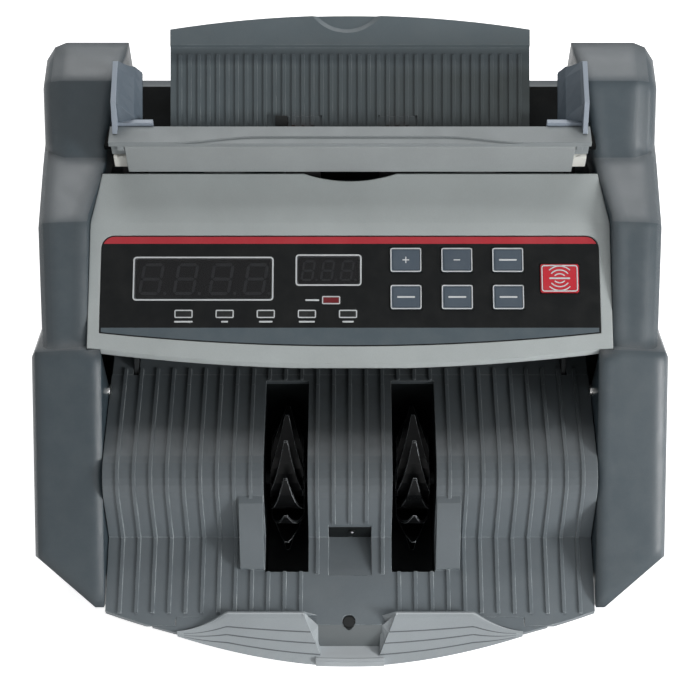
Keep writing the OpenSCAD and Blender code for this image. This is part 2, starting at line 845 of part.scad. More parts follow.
module front_housing() {
    scoop_r = 66;
    color("#969d9d") difference() {
        union() {
            difference() {
                union() {
                    house_shape(0, 0, house_rim, 0);
                    house_shape(0, 0, house_skirt, skirt_setback);
                }
                house_shape(shell_t, shell_t, house_skirt + 5, skirt_setback);
            }
            // bosses for the display board
            on_panel() for (x = [10.5 - overlay_hw, 11, overlay_hw - 6],
                y = [board_low + 3, board_low + board_h - 3])
                translate([x, y, -board_gap]) cylinder(r = 3, h = board_gap - shell_t + 1);
        }
        on_panel() {
            translate([0, 0, -overlay_t]) linear_extrude(5) overlay_2d(0);
            translate([0, 0, -shell_t - 1]) linear_extrude(5) {
                at_keys(0.5);
                at_windows(-1.6);
            }
        }
        // finger scoop under the flap's lower edge
        translate([0, y_flap - 3.6 + scoop_r, band_h - 6])
            cylinder(r = scoop_r, h = 20, $fn = 200);
    }
}

module control_overlay() {
    color("#1c1e1f") on_panel() translate([0, 0, -overlay_t]) linear_extrude(overlay_t)
        difference() {
            overlay_2d(0.15);
            at_keys(0.5);
            at_windows(0.1);
        }
}

module window(w) {
    on_panel() translate([w[0], w[1], -overlay_t])
        linear_extrude(overlay_t) round_rect(w[2], w[3], 1.5);
}

module main_display_window() {
    color("#2b2326") window(main_window);
}

module batch_display_window() {
    color("#2b2326") window(batch_window);
}

module indicator_lenses() {
    color("#c9d2d2") on_panel() for (p = lamps)
        translate([p[0], p[1], -overlay_t]) linear_extrude(overlay_t)
            square([lamp_w, lamp_h], center = true);
}

board_gap = 9;
board_low = 5;
board_h = 38;
board_t = 1.6;
module digit_module(w, n) {
    on_panel() difference() {
        translate([w[0] - w[2] / 2 + 1.5, w[1] - w[3] / 2 + 1.2, -board_gap])
            cube([w[2] - 3, w[3] - 2.4, board_gap - overlay_t - 0.3]);
        // digit wells
        for (i = [0:n - 1]) translate([w[0] + (i - (n - 1) / 2) * (w[2] - 3) / n, w[1],
            -overlay_t - 0.3]) cube([(w[2] - 3) / n * 0.55, w[3] * 0.7, 0.6], center = true);
    }
}

module digit_modules() {
    color("#3a3436") digit_module(main_window, 4);
    color("#3a3436") digit_module(batch_window, 3);
}

module display_board() {
    color("#2f6b3c") on_panel() {
        translate([8 - overlay_hw, board_low, -board_gap - board_t])
            cube([2 * overlay_hw - 10, board_h, board_t]);
        // push switches under the keys
        for (c = [0:2], r = [0:1]) translate([key_x + c * key_pitch, key_rows[r],
            -board_gap]) cylinder(r = 2.5, h = board_gap - key_deep - key_travel - 0.25);
        translate([reset_at[0], reset_at[1], -board_gap])
            cylinder(r = 2.5, h = board_gap - key_deep - key_travel - 0.25);
        // indicator lamps
        for (p = lamps) translate([p[0] - 2, p[1] - 1, -board_gap])
            cube([4, 2, board_gap - overlay_t - 0.3]);
    }
}

key_deep = 4;
key_proud = 0.6;
module key(p, w, h) {
    on_panel() {
        translate([p[0], p[1], -key_deep]) linear_extrude(key_deep + key_proud)
            round_rect(w, h, 1);
        translate([p[0], p[1], key_proud - 0.1]) linear_extrude(0.25)
            round_rect(w - 2.4, h - 2.4, 0.8);
    }
}

module panel_key(column, row) {
    key([key_x + column * key_pitch, key_rows[row]], key_w, key_h);
}

module plus_key() {
    color("#56616a") panel_key(0, 0);
}

module minus_key() {
    color("#56616a") panel_key(1, 0);
}

module batch_key() {
    color("#56616a") panel_key(2, 0);
}

module mode_key() {
    color("#56616a") panel_key(0, 1);
}

module function_key() {
    color("#56616a") panel_key(1, 1);
}

module add_key() {
    color("#56616a") panel_key(2, 1);
}

module reset_key() {
    color("#b9323c") key(reset_at, reset_w, reset_h);
}

// --- hopper ---------------------------------------------------------------
bar_hw = x_in - 3.4;
flap_hw = bar_hw - 7;
flap_t = 2;
flap_front = y_flap + 0.6;
hinge_y = flap_front + 1.6;
hinge_z = bar_h - 4.5;
knuckle_r = 1.6;
pin_r = 1;
lug_x = flap_hw + 0.5;
rail_y = y_flap + 7.5;
rail_z = bar_h - 7;
rail_r = 2;

module hopper_front_bar() {
    color("#8d9394") difference() {
        union() {
            box([-bar_hw, y_flap, bar_h - shell_t], [bar_hw, nip_y, bar_h]);
            // lugs for the flap's pins and the outer rail ends
            for (s = [0, 1]) mirror([s, 0, 0]) {
                box([lug_x, hinge_y - knuckle_r, hinge_z - knuckle_r],
                    [lug_x + 3, hinge_y + knuckle_r + 1, bar_h - 1]);
                box([lug_x, rail_y - 3.5, hopper_floor_z], [lug_x + 6.4, nip_y, bar_h - 1]);
                box([36, rail_y - 3.5, rail_z - 3.5], [38.5, nip_y, bar_h - 1]);
            }
        }
        rod_x(-lug_x - 4, lug_x + 4, hinge_y, hinge_z, pin_r + run_fit);
        for (s = [0, 1]) mirror([s, 0, 0]) rod_x(36.5, lug_x + 3, rail_y, rail_z, rail_r);
        // step along a wavy line, deepest in the middle
        translate([0, 0, bar_h - wave_step]) linear_extrude(5) polygon(concat(
            [[-wave_out, y_flap - 5]],
            [for (x = [-wave_out:4:wave_out]) [x, y_flap + wave_d * wave_at(x)]],
            [[wave_out, y_flap - 5]]));
    }
}
wave_out = 84;
wave_in = 40;
wave_d = 4;
wave_step = 0.8;
function wave_at(x) = abs(x) < wave_in ? 1
    : 0.5 + 0.5 * cos(180 * (abs(x) - wave_in) / (wave_out - wave_in));

module guide_rails() {
    color("silver") for (s = [0, 1]) mirror([s, 0, 0])
        rod_x(36.5, lug_x + 3, rail_y, rail_z, rail_r - 0.01);
}

module access_flap() {
    low_z = band_h + 0.6;
    color("#929899") {
        rod_x(-flap_hw, flap_hw, hinge_y, hinge_z, knuckle_r);
        rod_x(-lug_x - 2.8, lug_x + 2.8, hinge_y, hinge_z, pin_r);
        box([-flap_hw, flap_front, low_z], [flap_hw, flap_front + flap_t, hinge_z]);
        // stiffening rib along the lower edge
        box([-flap_hw + 4, flap_front + flap_t - 0.1, low_z + 3],
            [flap_hw - 4, flap_front + flap_t + 0.8, low_z + 4.5]);
    }
}

header_run = 14;
tray_end_y = y_flap + 4.6;
module tray_profile(inset) {
    y1 = y_back - inset;
    polygon([[tray_end_y, tray_z(tray_end_y) - inset / cos(tray_tilt)],
        [y1, tray_z(y1) - inset / cos(tray_tilt)], [y1, rim_z - inset * 4],
        [y_back - 13, rim_z - inset * 4], [nip_y + 20, hopper_floor_z - inset * 4],
        [tray_end_y, hopper_floor_z - 5.5 - inset * 4]]);
}

// arch over the top edge, in the plane of the tray
module tray_arch() {
    arch = 6.5;
    arch_r = (tray_w * tray_w / 4 + arch * arch) / (2 * arch);
    translate([0, y_back, tray_h]) rotate([tray_tilt, 0, 0]) translate([0, -arch_r, -60])
        cylinder(r = arch_r, h = 90, $fn = 300);
}

module tray_slots() {
    for (s = [-1, 1]) box([s * feed_roller_x - feed_roller_w / 2 - 1, tray_end_y - 5, 120],
        [s * feed_roller_x + feed_roller_w / 2 + 1, nip_y + 10, 170]);
}

// one strip along the slope of the tray, from y0 to y1
module tray_strip(x, w, y0, y1, h) {
    slab_x(x, w) polygon([[y0, tray_z(y0) - 1], [y1, tray_z(y1) - 1], [y1, tray_z(y1) + h],
        [y0, tray_z(y0) + h]]);
}

module hopper_tray() {
    hw = tray_w / 2;
    rib_step = (tray_w - 9) / (tray_ribs - 1);
    color("#56636a") intersection() {
        difference() {
            union() {
                along_x(-hw, hw) tray_profile(0);
                // raised header band and its dish
                difference() {
                    tray_strip(0, tray_w, y_back - header_run + 2, y_back, 1.8);
                    translate([-1.5, y_back - 5, tray_h + 28]) sphere(r = 31.5, $fn = 96);
                }
                for (i = [0:tray_ribs - 1]) tray_strip(-hw + 4.5 + i * rib_step, rib_w,
                    nip_y + 4, y_back - header_run - 1, rib_h);
            }
            along_x(-hw + shell_t, hw - shell_t) tray_profile(shell_t);
            tray_slots();
        }
        tray_arch();
    }
}

// dark shelf beside and under the tray
module hopper_floor() {
    color("#24282a") difference() {
        translate([0, 0, hopper_floor_z - shell_t]) linear_extrude(shell_t)
            intersection() {
                offset(delta = -gap) between_covers(0);
                box2([-x_in - 5, y_flap + 9], [x_in + 5, y_back - 11]);
            }
        box([-tray_w / 2 - gap, y_flap - 5, 100], [tray_w / 2 + gap, y_back + 5, 200]);
    }
}

guide_foot = 18;

// note guide: fin, foot and a collar on the rail
module note_guide() {
    x1 = x_in - 5;
    color("#8f9aa2") difference() {
        union() {
            along_x(x1 - 2.2, x1) polygon([[nip_y + 0.6, tray_z(nip_y) + 4],
                [nip_y + 0.6, bar_h + 0.4], [y_flap + 5, bar_h + 0.4],
                [y_flap + 13, bar_h + 13], [y_flap + 33, bar_h + 18.5],
                [y_flap + 38.5, tray_z(y_flap + 38.5) + 3], [nip_y + 3.5, tray_z(nip_y) + 4]]);
            box([x1 - guide_foot, nip_y + 0.6, tray_z(nip_y) + 4],
                [x1, nip_y + 2.8, bar_h + 1.6]);
            box([x1 - 14, rail_y, rail_z - 1.5], [x1 - 5.5, nip_y + 1.5, rail_z + 2.6]);
            rod_x(x1 - 14, x1 - 5.5, rail_y, rail_z, rail_r + 1.6);
        }
        rod_x(x1 - 20, x1 + 5, rail_y, rail_z, rail_r + run_fit);
    }
}

module right_guide() {
    note_guide();
}

module left_guide() {
    mirror([1, 0, 0]) note_guide();
}

// --- back -------------------------------------------------------------------
handle_y = y_back - 6;
handle_z = 122;
handle_hw = 50;
handle_r = 3.5;
knob_z = 66;
inlet_x = -78;
inlet_z = 30;
switch_x = -44;

module rear_cover() {
    hw = horn_in_back + 2;
    side = horn_in_back - gap;
    color("#4f5a60") difference() {
        union() {
            box([-hw, y_rear_panel - shell_t, z_pan], [hw, y_rear_panel, rim_z]);
            // returns beside the recess
            for (s = [0, 1]) mirror([s, 0, 0])
                box([side - shell_t, y_rear_panel - shell_t, z_pan], [side, y_rear_face, rim_z]);
            // rim over the recess
            box([-side, y_rear_panel - shell_t, rim_z - 8], [side, y_back, rim_z]);
            for (s = [-1, 1]) handle_lug(s);
        }
        // cooling slots
        for (i = [0:7], s = [0, 1]) mirror([s, 0, 0])
            box([28, y_rear_panel - 5, 62 + i * 5], [74, y_rear_panel + 1, 64.2 + i * 5]);
        rod_y(0, knob_z, y_rear_panel - 5, y_rear_panel + 1, 2.5 + run_fit);
        translate([inlet_x, 0, inlet_z]) box([-14, y_rear_panel - 5, -10.5],
            [14, y_rear_panel + 1, 10.5]);
        translate([switch_x, 0, inlet_z]) box([-7, y_rear_panel - 5, -10.5],
            [7, y_rear_panel + 1, 10.5]);
        rod_x(-handle_hw - 12, handle_hw + 12, handle_y, handle_z, 1.5 + run_fit);
    }
}

module rod_y(x, z, y0, y1, r) {
    translate([x, y0, z]) rotate([-90, 0, 0]) cylinder(r = r, h = y1 - y0);
}

module handle_lug(s) {
    x0 = s > 0 ? handle_hw + 4 : -handle_hw - 8;
    box([x0, y_rear_panel - 0.1, handle_z - 4], [x0 + 4, handle_y, handle_z + 4]);
    rod_x(x0, x0 + 4, handle_y, handle_z, 4);
}

// folding handle, hanging down at rest
module carry_handle() {
    drop = 36;
    color("#2b2e30") {
        for (s = [0, 1]) mirror([s, 0, 0]) {
            rod_x(handle_hw - 4, handle_hw + 3.7, handle_y, handle_z, handle_r);
            rod_x(handle_hw, handle_hw + 7.5, handle_y, handle_z, 1.5);
            translate([0, 0, handle_z - drop]) box([handle_hw - 4, handle_y - handle_r, 0],
                [handle_hw + 3.7, handle_y + handle_r, drop]);
        }
        rod_x(-handle_hw - 3.7, handle_hw + 3.7, handle_y, handle_z - drop, handle_r);
        box([-handle_hw - 3.7, handle_y - handle_r, handle_z - drop],
            [handle_hw + 3.7, handle_y + handle_r, handle_z - drop + 6]);
    }
}

// knurled knob that sets the feed gap
module gap_screw() {
    color("#d0d0cc") {
        difference() {
            rod_y(0, knob_z, y_rear_panel + gap, y_rear_panel + 7.5, 9);
            for (a = [0:20:340]) translate([0, 0, knob_z]) rotate([0, a, 0])
                translate([9.6, y_rear_panel, 0]) rotate([-90, 0, 0])
                    cylinder(r = 1.2, h = 9, $fn = 16);
            box([-7, y_rear_panel + 6.5, knob_z - 0.7], [7, y_rear_panel + 9, knob_z + 0.7]);
        }
        rod_y(0, knob_z, y_rear_panel - 10, y_rear_panel + 1, 2.5);
        rod_y(0, knob_z, y_rear_panel - shell_t - 2.3, y_rear_panel - shell_t - gap, 4.5);
    }
}

module power_inlet() {
    color("#1b1c1d") translate([inlet_x, 0, inlet_z]) difference() {
        union() {
            box([-13.8, y_rear_panel - 22, -10.3], [13.8, y_rear_panel, 10.3]);
            box([-16, y_rear_panel, -12.5], [16, y_rear_panel + 2, 12.5]);
        }
        difference() {
            box([-11.5, y_rear_panel - 16, -7], [11.5, y_rear_panel + 3, 7]);
            for (s = [-1, 1]) translate([s * 12.5, 0, 9]) rotate([0, 45, 0])
                box([-4, y_rear_panel - 17, -4], [4, y_rear_panel + 4, 4]);
            for (x = [-7, 0, 7]) box([x - 1, y_rear_panel - 17, -2], [x + 1, y_rear_panel - 2, 2]);
        }
    }
}

module switch_housing() {
    color("#1b1c1d") translate([switch_x, 0, inlet_z]) difference() {
        union() {
            box([-6.8, y_rear_panel - 18, -10.3], [6.8, y_rear_panel, 10.3]);
            box([-8.5, y_rear_panel, -12], [8.5, y_rear_panel + 1.5, 12]);
        }
        box([-5.2, y_rear_panel - 8, -9], [5.2, y_rear_panel + 3, 9]);
        rod_x(-6.3, 6.3, rocker_y, 0, 1 + run_fit);
    }
}

rocker_y = y_rear_panel - 3.5;
rocker_tilt = 9;
module power_rocker() {
    color("#a32028") translate([switch_x, rocker_y, inlet_z]) rotate([-rocker_tilt, 0, 0]) {
        along_x(-4.9, 4.9) polygon([[-3.6, -3], [0.5, -7.4], [4.8, -7.4], [3.4, 0],
            [4.8, 7.4], [0.5, 7.4], [-3.6, 3]]);
        rod_x(-6, 6, 0, 0, 1);
    }
}

// --- sensors and screws ---------------------------------------------------
module note_sensors() {
    color("#15171a") {
        // in the hopper, on the tray
        slab_x(-31.6, 5.6) polygon([[nip_y + 5, tray_z(nip_y + 5) + rib_h],
            [nip_y + 9, tray_z(nip_y + 9) + rib_h],
            [nip_y + 8, tray_z(nip_y + 8) + 4], [nip_y + 4.6, tray_z(nip_y + 4.6) + 3]]);
        // in the stacker's hand recess
        difference() {
            rod_y(1, recess_floor + 6, recess_back - 1, recess_back, 1.8);
            rod_y(1, recess_floor + 6, recess_back - 2, recess_back - 0.4, 0.9);
        }
        // eye in the stacker floor
        translate([-0.5, lip_y - 1.5, 18]) cylinder(r = 2.7, h = 9);
    }
}

module pan_head(r) {
    cylinder(r = r, h = 1.2);
    translate([0, 0, -5]) cylinder(r = 1.5, h = 5.5);
}

module cover_screws() {
    color("silver") {
        for (s = [0, 1]) mirror([s, 0, 0])
            translate([x_in, arm_screw_y, arm_screw_z]) rotate([0, -90, 0]) pan_head(2.6);
    }
}

base_pan();
rubber_feet();
left_side_cover();
right_side_cover();
front_housing();
control_overlay();
main_display_window();
batch_display_window();
digit_modules();
indicator_lenses();
display_board();
plus_key();
minus_key();
batch_key();
mode_key();
function_key();
add_key();
reset_key();
hopper_front_bar();
access_flap();
hopper_tray();
hopper_floor();
rear_cover();
left_guide();
right_guide();
guide_rails();
stacker_plate();
front_lip();
left_impeller();
right_impeller();
impeller_shaft();
impeller_pulley();
feed_shaft();
feed_rollers();
feed_pulleys();
transport_shaft();
transport_rollers();
transport_pulley();
pinch_roller();
retard_pads();
left_frame_plate();
right_frame_plate();
tie_rods();
shaft_bearings();
motor();
motor_pulleys();
drive_belt();
impeller_belt();
transport_belt();
transformer();
main_board();
power_inlet();
switch_housing();
power_rocker();
carry_handle();
gap_screw();
note_sensors();
cover_screws();
latch_brackets();
impeller_wells();
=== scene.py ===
import json
import math

import bmesh
import bpy
from mathutils import Matrix, Vector


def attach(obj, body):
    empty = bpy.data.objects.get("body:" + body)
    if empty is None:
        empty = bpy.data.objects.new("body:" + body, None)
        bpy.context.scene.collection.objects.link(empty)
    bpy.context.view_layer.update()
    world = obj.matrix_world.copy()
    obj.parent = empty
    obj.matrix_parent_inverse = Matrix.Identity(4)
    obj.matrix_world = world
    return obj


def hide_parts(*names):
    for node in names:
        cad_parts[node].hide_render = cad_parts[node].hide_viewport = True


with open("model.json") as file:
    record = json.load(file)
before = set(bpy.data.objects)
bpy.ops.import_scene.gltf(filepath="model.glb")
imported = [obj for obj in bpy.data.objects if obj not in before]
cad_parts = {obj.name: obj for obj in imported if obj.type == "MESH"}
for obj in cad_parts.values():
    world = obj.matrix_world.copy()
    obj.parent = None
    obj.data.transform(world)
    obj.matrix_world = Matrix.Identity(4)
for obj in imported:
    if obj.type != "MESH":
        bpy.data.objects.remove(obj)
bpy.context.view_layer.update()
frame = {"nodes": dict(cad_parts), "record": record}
nodes = frame["nodes"]
scene = bpy.context.scene
mm = 0.001
sink = 0.05  # mm that a raised detail reaches into the surface below it


# colours are given as 0-255 screen values
def linear(r, g, b):
    out = []
    for c in (r, g, b):
        c = c / 255
        out.append(c / 12.92 if c <= 0.04045 else ((c + 0.055) / 1.055) ** 2.4)
    return (*out, 1.0)


def newTree(name):
    material = bpy.data.materials.new(name)
    material.use_nodes = True
    tree = material.node_tree
    tree.nodes.clear()
    out = tree.nodes.new("ShaderNodeOutputMaterial")
    out.location = (900, 0)
    return material, tree, out


def add(tree, kind, x=0, y=0):
    n = tree.nodes.new(kind)
    n.location = (x, y)
    return n


def noise(tree, coords, scale, detail=2.0, rough=0.5, x=-800, y=0):
    n = add(tree, "ShaderNodeTexNoise", x, y)
    n.inputs["Scale"].default_value = scale
    n.inputs["Detail"].default_value = detail
    n.inputs["Roughness"].default_value = rough
    tree.links.new(coords, n.inputs["Vector"])
    return n.outputs["Fac"]


def ranged(tree, value, low, high, outLow=0.0, outHigh=1.0, x=-500, y=0):
    n = add(tree, "ShaderNodeMapRange", x, y)
    n.inputs["From Min"].default_value = low
    n.inputs["From Max"].default_value = high
    n.inputs["To Min"].default_value = outLow
    n.inputs["To Max"].default_value = outHigh
    tree.links.new(value, n.inputs["Value"])
    return n.outputs["Result"]


def combine(tree, a, b, how="MULTIPLY", x=-300, y=0):
    n = add(tree, "ShaderNodeMath", x, y)
    n.operation = how
    for value, socket in ((a, n.inputs[0]), (b, n.inputs[1])):
        if isinstance(value, (int, float)):
            socket.default_value = value
        else:
            tree.links.new(value, socket)
    return n.outputs[0]


def blendColour(tree, factor, a, b, x=-100, y=0):
    n = add(tree, "ShaderNodeMix", x, y)
    n.data_type = "RGBA"
    for value, socket in ((factor, n.inputs[0]), (a, n.inputs[6]), (b, n.inputs[7])):
        if isinstance(value, (int, float, tuple)):
            socket.default_value = value
        else:
            tree.links.new(value, socket)
    return n.outputs[2]


def shaded(colour, amount):
    return (*[min(1.0, c * amount) for c in colour[:3]], 1.0)


# painted shade with some rubber dust: darkest at "from", gone at "to", along y and along the
# distance from x = 0
def shadeAndSootByPlace(tree, coords, base, smear, shadeAndSoot):
    place = add(tree, "ShaderNodeSeparateXYZ", -700, 700)
    tree.links.new(coords, place.inputs[0])
    along = ranged(tree, place.outputs["Y"], *shadeAndSoot["yFrom"], 1, 0, -500, 700)
    level = ranged(tree, place.outputs["Z"], *shadeAndSoot["zFrom"], 0, 1, -500, 600)
    side = place.outputs["X"]
    if not shadeAndSoot.get("oneSided"):
        side = combine(tree, side, 0.0, "ABSOLUTE", -500, 850)
    across = ranged(tree, side, *shadeAndSoot["xFrom"], 1, shadeAndSoot["sideShare"], -300, 850)
    amount = combine(tree, combine(tree, along, level, x=-300, y=700), across, x=-150, y=700)
    uneven = ranged(tree, smear, 0.25, 0.75, 0.8, 1.0, -300, 550)
    amount = combine(tree, combine(tree, amount, uneven, x=0, y=700), shadeAndSoot["amount"], x=100, y=700)
    return blendColour(tree, amount, base, shadeAndSoot["colour"], 200, 500)


# painted shadow in a crease running across at one y
def paintedCreaseShade(tree, coords, base, band):
    place = add(tree, "ShaderNodeSeparateXYZ", -700, 1000)
    tree.links.new(coords, place.inputs[0])
    away = combine(tree, place.outputs["Y"], -band["y"], "ADD", -500, 1000)
    away = combine(tree, away, 0.0, "ABSOLUTE", -400, 1000)
    low, high = band["width"] * 0.3, band["width"]
    amount = ranged(tree, away, low, high, band["amount"], 0, -300, 1000)
    return blendColour(tree, amount, base, band["colour"], 0, 800)


# what a surface has unless its own look says otherwise
usualLook = {
    "mottle": 0.06,
    "mottleScale": 28,
    "speckle": 0.05,
    "speckleLift": 2.2,
    "grain": 0.35,
    "grainScale": 2200,
    "grainDepth": 0.05 * mm,
    "smearScale": 90,
    "wearAndHighlight": 0.25,
    "wearLift": 1.9,
    "edgeRadius": 0.35 * mm,
    "edgeSamples": 4,
    "dust": 0.05,
    "dustColour": linear(176, 174, 168),
    "rough": 0.5,
    "roughPlay": 0.08,
    "metal": 0.0,
    "specular": 0.5,
}


# mottle, grain, rubbed edges with painted edge highlights, dust and painted light on upward faces,
# and painted shade by place and in a crease, from one dictionary
def surface(name, ownLook):
    look = dict(usualLook, **ownLook)
    colour = look["colour"]
    material, tree, out = newTree(name)
    coords = add(tree, "ShaderNodeTexCoord", -1100, 0).outputs["Object"]
    mottle = noise(tree, coords, look["mottleScale"], 4, 0.6, -900, 300)
    fine = noise(tree, coords, look["grainScale"], 2, 0.6, -900, -300)
    smear = noise(tree, coords, look["smearScale"], 5, 0.65, -900, 0)

    darker, paler = shaded(colour, 1 - look["mottle"]), shaded(colour, 1 + look["mottle"])
    patches = ranged(tree, mottle, 0.3, 0.7, x=-700, y=300)
    base = blendColour(tree, patches, darker, paler, -450, 300)
    specks = ranged(tree, fine, 0.35, 0.65, 0, look["speckle"], -700, 150)
    base = blendColour(tree, specks, base, shaded(colour, look["speckleLift"]), -300, 300)

    bevel = add(tree, "ShaderNodeBevel", -900, -600)
    bevel.samples = look["edgeSamples"]
    bevel.inputs["Radius"].default_value = look["edgeRadius"]
    geometry = add(tree, "ShaderNodeNewGeometry", -900, -800)
    dot = add(tree, "ShaderNodeVectorMath", -700, -700)
    dot.operation = "DOT_PRODUCT"
    tree.links.new(bevel.outputs["Normal"], dot.inputs[0])
    tree.links.new(geometry.outputs["Normal"], dot.inputs[1])
    # rubbed edges; with a high amount and a pale colour of its own, this is also a painted
    # highlight along the edges
    edge = ranged(tree, dot.outputs["Value"], 0.99, 0.8, 0, look["wearAndHighlight"], -500, -700)
    edge = combine(tree, edge, ranged(tree, smear, 0.35, 0.6, x=-500, y=-500), x=-300, y=-600)
    rubbedAndHighlit = look.get("wearAndHighlightColour", shaded(colour, look["wearLift"]))
    base = blendColour(tree, edge, base, rubbedAndHighlit, -100, 300)

    up = add(tree, "ShaderNodeSeparateXYZ", -700, -900)
    tree.links.new(geometry.outputs["Normal"], up.inputs[0])
    # painted light: faces that point up blend towards a paler colour, as if lit from above
    if "paintedLitTop" in look:
        level = ranged(tree, up.outputs["Z"], *look["paintedLitTopFrom"], 0, 1, -500, -1200)
        base = blendColour(tree, level, base, look["paintedLitTop"], -50, 450)
    lying = ranged(tree, up.outputs["Z"], 0.3, 1.0, 0, look["dust"], -500, -900)
    dust = combine(tree, lying, ranged(tree, smear, 0.4, 0.7, x=-500, y=-1050), x=-300, y=-900)
    base = blendColour(tree, dust, base, look["dustColour"], 50, 300)

    if "shadeAndSoot" in look:
        base = shadeAndSootByPlace(tree, coords, base, smear, look["shadeAndSoot"])
    if "band" in look:
        base = paintedCreaseShade(tree, coords, base, look["band"])

    low, high = look["rough"] - look["roughPlay"], look["rough"] + look["roughPlay"]
    roughness = ranged(tree, smear, 0.3, 0.7, low, high, -100, 0)
    roughness = combine(tree, roughness, dust, "ADD", 100, 0)

    bump = add(tree, "ShaderNodeBump", 100, -400)
    bump.inputs["Strength"].default_value = look["grain"]
    bump.inputs["Distance"].default_value = look["grainDepth"]
    tree.links.new(fine, bump.inputs["Height"])
    tree.links.new(bevel.outputs["Normal"], bump.inputs["Normal"])

    shader = add(tree, "ShaderNodeBsdfPrincipled", 400, 0)
    shader.inputs["Metallic"].default_value = look["metal"]
    shader.inputs["Specular IOR Level"].default_value = look["specular"]
    tree.links.new(base, shader.inputs["Base Color"])
    tree.links.new(roughness, shader.inputs["Roughness"])
    tree.links.new(bump.outputs["Normal"], shader.inputs["Normal"])
    tree.links.new(shader.outputs[0], out.inputs["Surface"])
    return material


def paint(obj, material):
    obj.data.materials.clear()
    obj.data.materials.append(material)


def meshObject(name, build, body, material, smooth=False):
    bm = bmesh.new()
    build(bm)
    bmesh.ops.recalc_face_normals(bm, faces=bm.faces[:])
    mesh = bpy.data.meshes.new(name)
    bm.to_mesh(mesh)
    bm.free()
    for p in mesh.polygons:
        p.use_smooth = smooth
    obj = bpy.data.objects.new(name, mesh)
    scene.collection.objects.link(obj)
    paint(obj, material)
    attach(obj, body)
    return obj


# place turns (u, v, h) in mm into a point of the scene
def prism(bm, outline, place, low, high):
    bottom = [bm.verts.new(place(u, v, low)) for u, v in outline]
    top = [bm.verts.new(place(u, v, high)) for u, v in outline]
    bm.faces.new(bottom)
    bm.faces.new(top)
    for i in range(len(outline)):
        j = (i + 1) % len(outline)
        bm.faces.new((bottom[i], bottom[j], top[j], top[i]))


# strip between two outlines with the same number of points
def frameStrip(bm, outer, inner, place, low, high):
    rings = []
    for outline in (outer, inner):
        for h in (low, high):
            rings.append([bm.verts.new(place(u, v, h)) for u, v in outline])
    outLow, outHigh, inLow, inHigh = rings
    count = len(outer)
    for i in range(count):
        j = (i + 1) % count
        bm.faces.new((outHigh[i], outHigh[j], inHigh[j], inHigh[i]))
        bm.faces.new((outLow[i], outLow[j], outHigh[j], outHigh[i]))
        bm.faces.new((inLow[i], inLow[j], inHigh[j], inHigh[i]))
        bm.faces.new((outLow[i], outLow[j], inLow[j], inLow[i]))


# skin over closed rings of points in mm, capped at both ends
def loft(bm, rings):
    rings = [[bm.verts.new(Vector(p) * mm) for p in ring] for ring in rings]
    for a, b in zip(rings, rings[1:]):
        for j in range(len(a)):
            k = (j + 1) % len(a)
            bm.faces.new((a[j], a[k], b[k], b[j]))
    bm.faces.new(rings[0])
    bm.faces.new(rings[-1])


def roundedRect(u, v, w, h, r, steps=6):
    points = []
    for cx, cy, start in ((1, 1, 0), (-1, 1, 90), (-1, -1, 180), (1, -1, 270)):
        x, y = u + cx * (w / 2 - r), v + cy * (h / 2 - r)
        for i in range(steps + 1):
            a = math.radians(start + 90 * i / steps)
            points.append((x + r * math.cos(a), y + r * math.sin(a)))
    return points


def rectangle(u0, v0, u1, v1):
    return [(u0, v0), (u1, v0), (u1, v1), (u0, v1)]


def arcBand(u, v, r, width, start, end, steps=16):
    turns = [math.radians(start + (end - start) * i / steps) for i in range(steps + 1)]
    far, near = r + width / 2, r - width / 2
    points = [(u + far * math.cos(a), v + far * math.sin(a)) for a in turns]
    return points + [(u + near * math.cos(a), v + near * math.sin(a)) for a in reversed(turns)]


